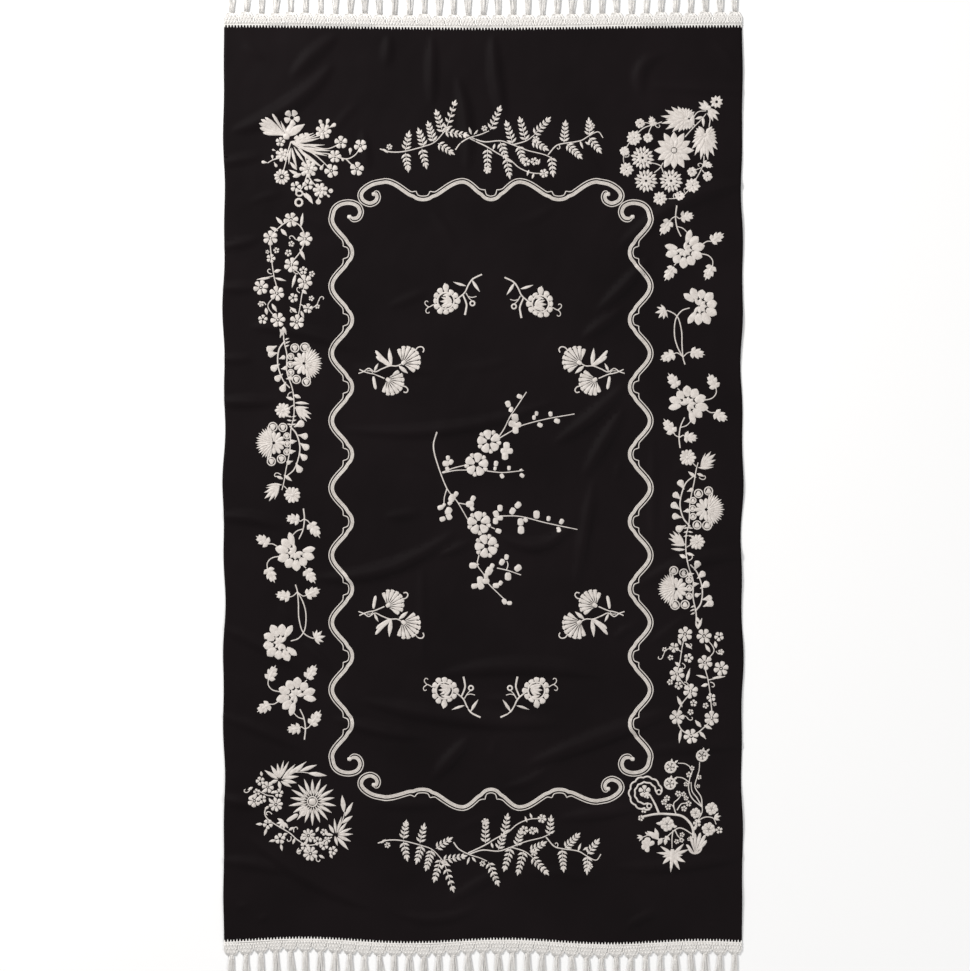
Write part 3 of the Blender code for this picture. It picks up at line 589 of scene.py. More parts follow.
def crook(turn, along, inwards, rows):
    """The hooked end of a stroke: its rows laid out from the turn in two directions."""
    points = [(turn[0] + along[0] * u + inwards[0] * v, turn[1] + along[1] * u + inwards[1] * v, 0.0)
              for u, v in rows]
    return [(p[0], p[1]) for p in smooth_line(points, CROOK_STEPS)]


def half_waves(turns):
    line = []
    for (x0, y0), (x1, y1) in zip(turns, turns[1:]):
        steps = round(math.hypot(x1 - x0, y1 - y0) / STROKE_STEP)
        for i in range(steps):
            t = i / steps
            ease = (1.0 - math.cos(math.pi * t)) / 2.0
            if abs(x1 - x0) > abs(y1 - y0):
                line.append((x0 + (x1 - x0) * t, y0 + (y1 - y0) * ease))
            else:
                line.append((x0 + (x1 - x0) * ease, y0 + (y1 - y0) * t))
    line.append(turns[-1])
    return line


def side_stroke(side):
    """The line of a long side, and the places of its cusps."""
    middle = FRAME_X + side * FRAME_HALF_WIDTH
    pitch = (FRAME_SIDE_TOP - FRAME_SIDE_BOTTOM) / (2 * SIDE_WAVES)
    turns, cusps = [], []
    for i in range(2 * SIDE_WAVES + 1):
        y = FRAME_SIDE_BOTTOM + i * pitch
        turns.append((middle + side * (SIDE_SWING if i % 2 == 0 else -SIDE_SWING), y))
        if i % 2:
            cusps += [(1, y - CUSP_FROM_TURN), (1, y + CUSP_FROM_TURN)]
    bottom = crook(turns[0], (-side, 0), (0, -1), SIDE_CROOK)
    top = crook(turns[-1], (-side, 0), (0, 1), SIDE_CROOK)
    return list(reversed(bottom)) + half_waves(turns)[1:-1] + top, cusps, -side, len(top)


def end_stroke(side):
    """The line of a short side, and the places of its cusps."""
    middle = FRAME_TOP if side > 0 else FRAME_BOTTOM
    offsets = [-x for x in END_TURNS] + list(reversed(END_TURNS[:-1]))
    turns, cusps = [], []
    for i, offset in enumerate(offsets):
        x = FRAME_X + offset
        turns.append((x, middle + side * (END_SWING if i % 2 == 0 else -END_SWING)))
        if i % 2:
            cusps += [(0, x - CUSP_FROM_TURN), (0, x + CUSP_FROM_TURN)]
    rise_left, rise_right = END_RISES[side]
    turns[0] = (turns[0][0], turns[0][1] - side * rise_left)
    turns[-1] = (turns[-1][0], turns[-1][1] - side * rise_right)
    left = crook(turns[0], (-1, 0), (0, -side), END_CROOK)
    right = crook(turns[-1], (1, 0), (0, -side), END_CROOK)
    return list(reversed(left)) + half_waves(turns)[1:-1] + right, cusps, side, len(left)


def make_scroll(name, stroke, material):
    """A stroke of the frame: three close rows of chain stitch and one thin row outside them."""
    line, cusps, left_is_out, in_crook = stroke
    spray = Spray()
    last = len(line) - 1
    for row, (offset, width, height) in enumerate(SCROLL_ROWS):
        moved, halves = [], []
        for i, (px, py) in enumerate(line):
            before, after = line[max(i - 1, 0)], line[min(i + 1, last)]
            tx, ty = after[0] - before[0], after[1] - before[1]
            size = math.hypot(tx, ty)
            out = offset * left_is_out
            on_wave = in_crook < i < last - in_crook
            for axis, place in cusps if on_wave else ():
                near = 1.0 - abs((px, py)[axis] - place) / CUSP_HALF
                if near > 0.0:
                    out += left_is_out * CUSP_REACH * near ** 1.5 * (CUSP_LEAN if row else 1.0)
            shut = min(1.0, (min(i, last - i) + 1.5) / 7.0)
            moved.append((px - ty / size * out * (0.4 + 0.6 * shut),
                          py + tx / size * out * (0.4 + 0.6 * shut)))
            halves.append(width / 2 * (0.5 + 0.5 * shut))
        spray.strip(moved, halves, height, 0.0, "chain")
    for px, py in (line[0], line[-1]):
        spray.knot(px, py, 4.2, 1.3)
    return spray.lay(name + "_stitches", material, (name,))


# ---- sprays of the side borders ----

# In the drawings, places are in millimetres from the spray's middle, and angles in degrees.
# Rows give a stem's points; a petal's root, angle, length and width; a leaf's root, tip and width; a flower's
# middle, radius, petals and turn; and a tendril's root, angle and sense.

def draw_garland(s):
    s.stem(((2, 110), (-18, 98), (-38, 74), (-37, 36), (-32, -2), (-26, -35), (-44, -62), (-24, -90)), 2.8,
           2.2)
    s.stem(((2, 110), (22, 96), (30, 72), (22, 48), (3, 20), (18, 4), (30, -14), (24, -40), (20, -66),
            (14, -94)), 2.8, 2.2)
    s.stem(((-32, -2), (-50, -6), (-66, -10)), 2.6, 1.2)
    s.stem(((20, -58), (36, -66), (52, -62), (58, -50)), 2.4, 1.8)
    s.stem(((30, 72), (14, 70), (8, 76)), 2.2, 1.6)
    for x, y, turn in ((2, 110, 10), (-39, 74, 30), (30, 72, 0), (3, 20, 20), (30, -14, 45),
                       (-58, -25, 15), (-26, -37, 40), (-24, -90, 5), (14, -94, 25)):
        s.blossom(x, y, 15.0, 6, turn)
    for x, y, r, turn in ((-38, 33, 9, 0), (-27, 49, 6, 30), (3, 62, 6, 10), (-3, 44, 7, 50), (27, 9, 8, 20),
                          (44, 2, 6, 0), (7, -46, 9.5, 36), (36, -67, 10, 10), (43, -47, 5.5, 0),
                          (55, -63, 5, 20), (-54, -89, 9.5, 12), (-58, -58, 6, 40), (-45, 46, 4, 0)):
        s.blossom(x, y, r, 5, turn, heart=False)
    for x0, y0, x1, y1, w in ((-14, 100, -28, 116, 8), (-18, 92, -6, 78, 9), (-24, 88, -40, 96, 8),
                              (22, 96, 26, 124, 7), (20, 52, 30, 30, 8), (-32, 6, -18, 10, 8),
                              (-30, -6, -8, -12, 6), (-40, -6, -66, -9, 6), (12, 2, 4, -26, 7),
                              (24, -30, 34, -38, 8), (22, -72, 28, -86, 7), (14, -76, 0, -64, 7),
                              (-36, -58, -26, -74, 8), (-48, -66, -46, -80, 8), (-12, -104, -20, -126, 7),
                              (-12, -104, -7, -120, 6)):
        s.leaf(x0, y0, x1, y1, w)
    for x, y, angle, turn in ((10, 72, 120, 1), (-36, 2, 170, -1), (16, 2, 170, -1), (20, -36, 150, -1),
                              (-48, -60, 120, 1), (58, -52, 80, -1), (12, -70, 150, 1)):
        s.curl(x, y, angle, 8.0, turn)


def draw_peony(s, x, y, side):
    """A full flower seen from its side: a fan of toothed petals with scalloped ones and scrolls behind."""
    face = 0 if side > 0 else 180
    s.daisy(x - side * 2, y, 24, 7, 180 - face, 0.12, 1.0, -105, 210, "round")
    s.daisy(x, y, 35, 19, face, 0.30, 1.05, -84, 168, "broad", 0.3)
    s.daisy(x, y, 27, 11, face, 0.26, 0.92, -80, 160, "round", 0.9)
    s.daisy(x, y, 15, 6, face, 0.10, 0.9, -80, 160, "round", 1.4)
    for dx, dy, r in ((-20, 31, 11), (0, 32, 12), (-17, -32, 11), (3, -37, 11), (-28, 14, 8), (-29, -2, 8),
                      (-28, -18, 8)):
        s.ring(x + side * dx, y + dy, r * 0.74, 2.8, height=1.2)
        s.petal(x + side * dx, y + dy - r * 0.5, 90, r * 1.0, r * 1.1, "round")


def draw_chain(s):
    s.stem(((-12, 186), (-12, 160), (-6, 130), (-6, 96), (4, 66), (8, 40), (8, 8), (2, -20), (0, -60),
            (-8, -100), (-12, -124), (-16, -140)), 3.0, 2.4)
    draw_peony(s, 30, 113, 1)
    draw_peony(s, -34, -46, -1)
    s.leaf(-12, 168, -20, 182, 7)
    for dx, dy in ((9, 4), (10, -3), (9, -10)):
        s.leaf(-10, 156 + dy, -10 + dx, 160 + dy, 4)
    s.stem(((-10, 158), (-22, 140), (-24, 110), (-14, 80), (0, 64)), 3.6, 2.6)
    s.stem(((0, -12), (14, -30), (20, -60), (10, -96), (-6, -112)), 3.6, 2.6)
    for x, y, angle, size in ((-26, 148, 205, 20), (-24, 134, 190, 18), (-20, 112, 215, 19),
                              (-14, 92, 220, 18), (-8, 76, 245, 19), (-22, 122, 20, 12), (-18, 102, 10, 12),
                              (-8, 82, 10, 12), (8, -14, 25, 20), (16, -30, -10, 18), (20, -46, -35, 19),
                              (18, -66, -40, 18), (12, -86, -62, 19), (14, -42, 190, 12),
                              (12, -62, 190, 12), (6, -82, 200, 12)):
        a = math.radians(angle)
        s.petal(x, y, angle, size * 1.12, size * 0.84, "drop")
        s.ring(x + math.cos(a) * size * 0.78, y + math.sin(a) * size * 0.72, size * 0.2, 2.0, height=1.2)
    s.curl(4, 56, 200, 9, 1)
    s.leaf(8, 50, 22, 44, 9)
    s.leaf(8, 40, -8, 46, 7)
    s.daisy(-14, 19, 16, 11, 0, 0.2, 1.1, kind="round", heart=0.2)
    s.stem(((8, 30), (-2, 24)), 2.2, 2.2)
    for angle, length, width in ((-28, 34, 9), (-42, 38, 10), (-56, 36, 9), (-8, 26, 6), (-70, 28, 6)):
        s.petal(12, 26, angle, length, width, "point", 2.0)
    s.leaf(10, 34, 38, 36, 7, -4)
    s.leaf(8, 24, 30, 20, 6, 3)
    for dy in (0, -8, -16):
        s.leaf(4, 6 + dy, -6, 8 + dy, 4)
        s.leaf(4, 6 + dy, 13, 8 + dy, 4)
    s.curl(-18, -110, 140, 9, 1)
    s.leaf(-12, -110, 4, -122, 8)
    s.leaf(-14, -118, -28, -112, 7)
    s.daisy(5, -150, 17, 11, 0, 0.2, 1.1, kind="round", heart=0.2)
    s.stem(((-12, -132), (-2, -142)), 2.2, 2.2)
    for angle, length, width in ((208, 32, 9), (224, 38, 11), (240, 36, 9), (192, 26, 6), (256, 28, 6)):
        s.petal(-22, -132, angle, length, width, "point", -2.0)
    s.leaf(-16, -130, -46, -126, 7, 5)


# Petals of a lotus flower. Columns: angle, length, width.
LOTUS_OUTER = ((12, 25, 14), (-16, 24, 17), (-50, 18, 18), (-86, 22, 19), (-121, 20, 19), (-157, 23, 19),
               (168, 26, 19), (136, 23, 18), (107, 27, 14))
LOTUS_INNER = ((-8, 18, 8.5), (-50, 15, 10), (-92, 14, 10), (-134, 14, 10), (-176, 15, 10), (142, 15, 9.5),
               (102, 18, 8))
LOTUS_OUTER_ROOT = 15.0
LOTUS_INNER_ROOT = 1.0


def draw_lotus_head(s, x, y, turn):
    """Two rounds of broad petals, with dark ground showing as thin lines between them."""
    for rows, root, kind, lift in ((LOTUS_OUTER, LOTUS_OUTER_ROOT, "broad", 0.0),
                                   (LOTUS_INNER, LOTUS_INNER_ROOT, "leaf", 0.3)):
        for angle, length, width in rows:
            a = math.radians(angle + turn)
            s.petal(x + math.cos(a) * root, y + math.sin(a) * root, angle + turn, length, width, kind,
                    lift=lift, threads="slant")


def draw_lotus(s):
    s.stem(((15, 87), (17, 66), (14, 44), (6, 26)), 3.2, 2.6)
    s.stem(((16, 66), (24, 62), (28, 56)), 2.6, 2.2)
    s.stem(((16, 66), (10, 62), (6, 62)), 2.6, 2.2)
    s.stem(((14, 46), (2, 42), (-8, 32)), 2.4, 2.0)
    s.stem(((-36, 10), (-46, 16), (-56, 16)), 2.6, 2.2)
    s.stem(((-30, -8), (-48, -12), (-57, -22), (-57, -34)), 2.6, 2.2)
    s.stem(((12, -20), (16, -28), (20, -32)), 2.6, 2.2)
    s.lobed_leaf(7, 64, -20, 68, 24)
    s.lobed_leaf(28, 58, 48, 28, 24)
    s.lobed_leaf(-54, 16, -80, 32, 24)
    s.lobed_leaf(-57, -32, -42, -62, 24)
    s.lobed_leaf(20, -35, 39, -63, 24)
    draw_lotus_head(s, -1, -1, 0)


def draw_lotus_bud(s):
    s.stem(((23, 113), (27, 99), (29, 74), (30, 46), (38, 18), (56, 6), (64, 8)), 2.8, 2.6)
    s.stem(((27, 99), (38, 78), (44, 54), (42, 24), (30, 6), (14, 0)), 2.8, 2.6)
    s.stem(((27, 98), (18, 90), (10, 88)), 2.4, 2.0)
    s.stem(((28, 97), (38, 90), (46, 92)), 2.4, 2.0)
    s.lobed_leaf(12, 88, -17, 94, 24)
    s.lobed_leaf(44, 91, 73, 104, 24)
    for angle, length, width in ((-30, 16, 7), (5, 18, 8), (40, 17, 8), (70, 14, 7), (-60, 13, 6),
                                 (100, 11, 5)):
        s.petal(62, 6, angle, length + 3, width, "point", 2.0)
    draw_lotus_head(s, -6, -4, -50)


# ---- sprays of the ends, the corners and the field ----

# Fronds of the fern spray. Columns: x and y of the root, x and y of the tip.
FRONDS = (
    (-173, -11, -166, 22), (-136, -3, -146, 28), (-116, 6, -127, 42), (-98, 24, -111, 66), (-92, 30, -73, 88),
    (-95, 27, -50, 18), (-108, 3, -80, -16), (-173, -16, -168, -48), (-140, -8, -132, -42), (-3, 30, 16, 74),
    (42, 2, 29, 44), (68, 8, 56, 52), (84, 20, 114, 52), (80, 8, 108, -8), (144, 5, 147, 44),
    (150, 2, 176, -24), (195, 18, 194, 48), (195, 14, 215, -12), (-9, -8, -9, -52), (17, 5, 28, -26),
    (29, -27, 35, -62), (54, -2, 62, -32), (119, -24, 122, -58),
)


def draw_fern(s):
    for line in (((-224, -8), (-203, -14), (-175, -13), (-136, -3), (-114, 6), (-92, 30)),
                 ((-73, -10), (-62, 4), (-41, 15), (-22, 21), (-6, 28)),
                 ((-41, 14), (-15, 6), (17, 8), (42, 0), (71, -11), (103, -19), (119, -26)),
                 ((-44, 12), (-12, -3), (13, -18), (36, -30), (55, -46), (80, -56), (108, -57)),
                 ((42, 0), (68, 8), (84, 19)),
                 ((112, -20), (128, -2), (144, 3), (176, 8), (194, 18), (212, 26), (222, 14))):
        s.stem(line, 3.0, 2.2)
    for x0, y0, x1, y1 in FRONDS:
        dx, dy = x1 - x0, y1 - y0
        length, angle = math.hypot(dx, dy), math.degrees(math.atan2(dy, dx))
        pairs = 4 if length < 36 else 5
        s.stem(((x0, y0), (x1, y1)), 1.8, 1.2, 0.6, 3)
        for k in range(pairs):
            t = (k + 0.35) / (pairs + 0.2)
            size = 12.5 * (1.0 - 0.35 * t)
            for side in (-1, 1):
                s.petal(x0 + dx * t, y0 + dy * t, angle + side * (62 - 18 * t), size, 5.4, "leaf",
                        side * -1.5)
        s.petal(x0 + dx * 0.86, y0 + dy * 0.86, angle, 12, 6.0, "leaf")
    for x, y, r in ((68, -34, 9), (85, -33, 8), (104, -57, 9), (88, 11, 7), (-15, 33, 6), (-205, -4, 6),
                    (-9, -50, 8), (200, 38, 6), (-168, -46, 6)):
        s.blossom(x, y, r, 6, 15, heart=False)
    for x0, y0, x1, y1 in ((-41, 20, -46, 35), (-36, 20, -28, 30), (6, 2, 2, -10), (92, -40, 96, -28),
                           (74, -50, 70, -62), (84, -57, 80, -68), (176, 8, 182, -8), (196, 0, 186, 6),
                           (-218, -8, -208, -16)):
        s.leaf(x0, y0, x1, y1, 5.5)
    s.curl(134, 0, -60, 6, -1)


def draw_bouquet(s):
    hub = (-38, 32)
    for line in ((hub, (-10, 36), (24, 46)), (hub, (0, 24), (34, 18), (60, 28)),
                 (hub, (10, 12), (36, 8), (48, 2)), ((36, 8), (70, -2), (88, 4), (100, 18)),
                 ((72, -2), (84, -14), (92, -20)), (hub, (4, 10), (24, -6), (40, -22)),
                 (hub, (-14, 12), (-6, -10)), (hub, (-44, 12), (-48, -8), (-54, -30)),
                 ((-4, -36), (8, -52), (20, -60)), ((-6, -36), (-12, -54), (-20, -66)),
                 ((-60, 0), (-74, -4), (-84, -10))):
        s.stem(line, 3.2, 2.2)
    for x0, y0, x1, y1, w in ((-30, 30, 22, 36, 6), (-30, 26, 30, 22, 6), (-26, 22, 42, 10, 7),
                              (-20, 20, 34, 0, 6), (-24, 18, 22, -22, 9), (-32, 22, -12, -14, 6),
                              (-36, 20, -30, -20, 7), (-38, 20, -46, -12, 6), (-34, 26, 14, 44, 6)):
        s.leaf(x0, y0, x1, y1, w, 4)
    for angle, length, width in ((138, 56, 9), (146, 60, 10), (154, 60, 10), (162, 56, 10), (170, 48, 9)):
        s.petal(-46, 44, angle, length, width, "drop", 2.0)
    s.petal(-50, 48, 122, 46, 7, "drop")
    s.petal(-46, 46, 114, 30, 6, "point")
    s.petal(-50, 44, 28, 46, 19, "leaf", 2.0, threads="slant")
    s.petal(-48, 44, 62, 34, 14, "leaf", threads="slant")
    s.blossom(-36, 80, 16, 5, 60, heart=False)
    s.blossom(-59, 32, 9.5, 5, 10)
    s.knot(-47, 43, 6.5, 1.8)
    s.lobed_leaf(-30, 34, 8, 50, 18)
    for x, y, r, n, turn in ((27, 53, 16, 7, 0), (62, 31, 13, 5, 20), (101, 24, 13, 5, 50), (50, 3, 13, 6, 0),
                             (94, -22, 14, 5, 10), (43, -26, 14, 5, 40), (-55, 6, 14, 7, 0),
                             (21, -65, 15, 7, 20), (-3, -22, 18, 8, 0), (-28, -58, 11, 5, 0),
                             (-4, -54, 11, 5, 30)):
        s.blossom(x, y, r, n, turn, heart=r > 12)
    s.blossom(27, 53, 9, 5, 30, heart=False, lift=0.6)
    s.blossom(21, -65, 9, 5, 30, heart=False, lift=0.6)
    s.blossom(-3, -22, 11, 6, 10, heart=False, lift=0.6)
    s.blossom(-55, 6, 8, 5, 10, heart=False, lift=0.6)
    s.daisy(-56, -38, 16, 12, 0, 0.32, 1.1, kind="round", heart=0.16)
    for x, y, angle, size in ((24, 62, 105, 15), (32, 64, 70, 15), (38, 60, 30, 16), (36, -66, 5, 10),
                              (32, -72, -40, 10), (18, -78, -100, 14), (80, 6, 85, 14), (62, 2, -60, 10),
                              (-74, -4, 100, 10), (-72, -8, -60, 12), (-84, -10, 170, 13),
                              (-68, 14, 160, 8), (28, -12, -120, 14)):
        s.petal(x, y, angle, size, size * 0.56, "drop")
    for x0, y0, x1, y1, w in ((-26, -24, -40, -8, 8), (-34, -38, -16, -32, 10), (-20, -36, -42, -24, 8),
                              (8, -44, 24, -46, 6), (-8, -70, 6, -92, 10), (-14, -70, 0, -84, 8)):
        s.leaf(x0, y0, x1, y1, w)
    s.ring(-21, -71, 6.5, 4.0, squeeze=0.8)
    s.ring(-22, -89, 7.0, 5.0)
    s.ring(17, -88, 4.0, 3.0)
    s.ring(42, -66, 3.4, 2.6)


def draw_side_head(s, x, y, aim):
    """A full flower seen from its side: three layers of petals that lengthen towards its tip."""
    for share, petals, lift in ((1.0, 18, 0.0), (0.78, 15, 0.5), (0.50, 10, 1.0)):
        for k in range(petals):
            off = math.radians(-150 + 300 * (k + 0.5) / petals)
            a = math.radians(aim) + off
            reach = share * (19 + 29 * max(0.0, math.cos(off)) ** 2)
            s.petal(x + 3 * math.cos(a), y + 3 * math.sin(a), math.degrees(a), reach, 4 + 7 * share, "leaf",
                    lift=lift)
    s.knot(x, y, 4, 1.8)


def draw_wreath(s):
    for line in (((-16, 56), (-30, 51), (-52, 44), (-70, 28), (-84, 10), (-91, -4), (-93, -22), (-87, -38)),
                 ((68, -12), (67, -26), (62, -40), (52, -58), (34, -84), (16, -96), (-14, -98)),
                 ((30, 26), (46, 44), (62, 60), (72, 72)), ((46, 64), (56, 76), (72, 78)),
                 ((78, 46), (80, 62), (74, 74)), ((-18, -32), (-28, -28), (-38, -26)),
                 ((-14, -26), (-20, -36), (-32, -46)), ((-18, -32), (-14, -44), (-10, -54)),
                 ((-36, 50), (-42, 36), (-44, 26)), ((-34, 50), (-46, 54), (-56, 54)),
                 ((62, -36), (52, -40), (46, -44)), ((64, -40), (70, -48))):
        s.stem(line, 2.4, 2.0)
    s.daisy(8, -1, 40, 12, 15, 0.34, 1.02)
    s.daisy(8, -1, 26, 12, 0, 0.24, 0.86, lift=0.5)
    s.knot(8, -1, 5, 1.8)
    for x, y in ((-55, -16), (-48, -62), (2, -62)):
        s.daisy(x, y, 24, 16, 0, 0.52, 1.0)
        s.daisy(x, y, 16, 10, 9, 0.16, 0.95)
    draw_side_head(s, 32, 62, 182)
    draw_side_head(s, 70, 30, 268)
    s.petal(38, 42, 62, 32, 12, "leaf", 8)
    for angle, length in ((120, 20), (145, 24), (170, 20), (-70, 26), (-50, 30), (-25, 24)):
        s.petal(77, 82, angle, length, 9, "point")
    s.knot(77, 84, 5, 1.5)
    s.daisy(93, 96, 14, 9, 0, 0.2, 1.1)
    s.leaf(66, 66, 50, 62, 7)
    s.leaf(66, 66, 67, 46, 7)
    for x, y, r in ((-60, 53, 10), (-44, 24, 10), (-91, -3, 10), (44, -44, 10), (75, -53, 10), (19, -92, 10)):
        s.daisy(x, y, r, 8, 10, 0.12, 1.2, kind="round")
    for x, y, r in ((-72, 24, 16), (-87, -39, 15), (-20, -97, 15), (45, -71, 16)):
        s.daisy(x, y, r, 10, 10, 0.34, 1.2)
        s.daisy(x, y, r * 0.6, 6, 0, 0.14, 1.1, kind="round", lift=0.4)
    s.lobed_leaf(-32, 48, -40, 68, 16)
    s.lobed_leaf(66, -26, 86, -34, 15)
    for x, y, angle, turn in ((-30, 50, -60, 1), (-80, 12, -20, 1), (-91, -14, -10, 1), (66, -30, 140, 1),
                              (30, -86, 120, -1), (8, -97, 110, -1)):
        s.curl(x, y, angle, 7.0, turn, 2.0)


def draw_sun_wreath(s):
    s.daisy(21, 17, 48, 18, 0, 0.33, 0.58, kind="leaf", lift=0.2)
    s.daisy(21, 17, 26, 18, 10, 0.46, 0.55)
    s.ring(21, 17, 10, 3.0, height=1.4)
    s.knot(21, 17, 7, 1.6)
    s.petal(-2, -10, 50, 20, 14, "even")
    s.ring(2, -5, 6, 2.6, height=1.4)
    s.petal(-30, -22, 32, 26, 9, "even")
    for angle in (150, 190, 230, 270, 305):
        s.petal(-36, -24, angle, 15, 7, "leaf")
    for x, y, angle, length, width in (
            (-44, 64, 62, 38, 7), (-44, 64, 78, 36, 6), (-44, 64, 100, 30, 8), (-46, 64, 122, 30, 9),
            (-48, 62, 146, 32, 9), (-40, 62, 48, 40, 8), (-36, 64, 36, 56, 9), (-38, 64, 6, 32, 8),
            (-38, 60, -12, 28, 9), (-42, 58, -30, 24, 8), (-46, 58, -80, 18, 8), (-48, 60, 200, 18, 8),
            (68, -46, 96, 30, 6), (70, -46, 74, 34, 6), (72, -46, 50, 28, 7), (72, -48, 24, 30, 7),
            (72, -50, 4, 30, 7), (72, -52, -22, 28, 8), (70, -54, -48, 34, 9), (66, -52, -76, 20, 7),
            (64, -46, 120, 20, 8), (62, -50, 172, 18, 7)):
        s.petal(x, y, angle, length, width, "leaf")
    s.stem(((-40, 62), (-22, 74), (-2, 76), (14, 74)), 2.4, 2.0)
    s.stem(((70, -44), (80, -24), (86, -4)), 2.4, 2.0)
    for x, y, angle, length, width in ((-4, 78, 20, 36, 9), (12, 74, -8, 38, 10), (-14, 76, 42, 24, 9),
                                       (84, -4, 96, 34, 11), (86, -12, 60, 32, 9), (80, -26, 34, 26, 9)):
        s.petal(x, y, angle, length, width, "leaf", 0.0, 0.9, 0.0, "slant")
    for x, y, r, n in ((-68, 46, 12, 6), (-95, 19, 13, 6), (-80, 22, 9, 5), (-52, 11, 14, 8),
                       (-83, 58, 9, 5), (-90, 36, 7, 5), (-68, -28, 10, 5), (-44, -57, 11, 5),
                       (13, -51, 14, 9), (17, -87, 15, 8), (32, -62, 9, 5), (44, -71, 9, 5),
                       (62, -81, 9, 5), (6, -72, 9, 5), (44, -44, 7, 5), (50, -60, 7, 5), (-46, 34, 9, 5)):
        s.blossom(x, y, r, n, x % 60, heart=r > 11)
    s.stem(((-90, 40), (-70, 30), (-58, 28), (-50, 20)), 2.4, 2.0)
    s.stem(((-72, 6), (-74, -8), (-66, -20), (-44, -34), (-24, -46), (-8, -60), (12, -70), (36, -66),
            (60, -54)), 3.0, 2.4)
    for x, y, angle, length in ((-78, -28, 180, 14), (-70, -36, 250, 16), (-52, -60, 190, 14),
                                (-42, -68, 280, 14), (-38, -50, 20, 10), (-70, 40, 200, 12),
                                (-96, 30, 220, 12), (-62, 34, 20, 12), (-60, 14, 120, 12),
                                (-66, 8, 220, 10), (-26, -40, 30, 12), (-14, -56, 250, 13),
                                (-2, -60, 70, 12), (0, -80, 200, 12), (34, -90, 330, 13),
                                (56, -88, 300, 10), (28, -44, 60, 12), (50, -50, 100, 11),
                                (-80, 68, 100, 10), (-98, 46, 210, 12)):
        s.petal(x, y, angle, length, 6.5, "leaf")
    for x, y, angle, turn in ((-60, -8, 130, 1), (-104, 40, 230, -1), (-22, -52, 280, -1), (-6, -76, 230, 1),
                              (-16, -44, 100, -1), (30, -92, 250, 1)):
        s.curl(x, y, angle, 8, turn, 2.4)


RUFFLE_STEPS = 60


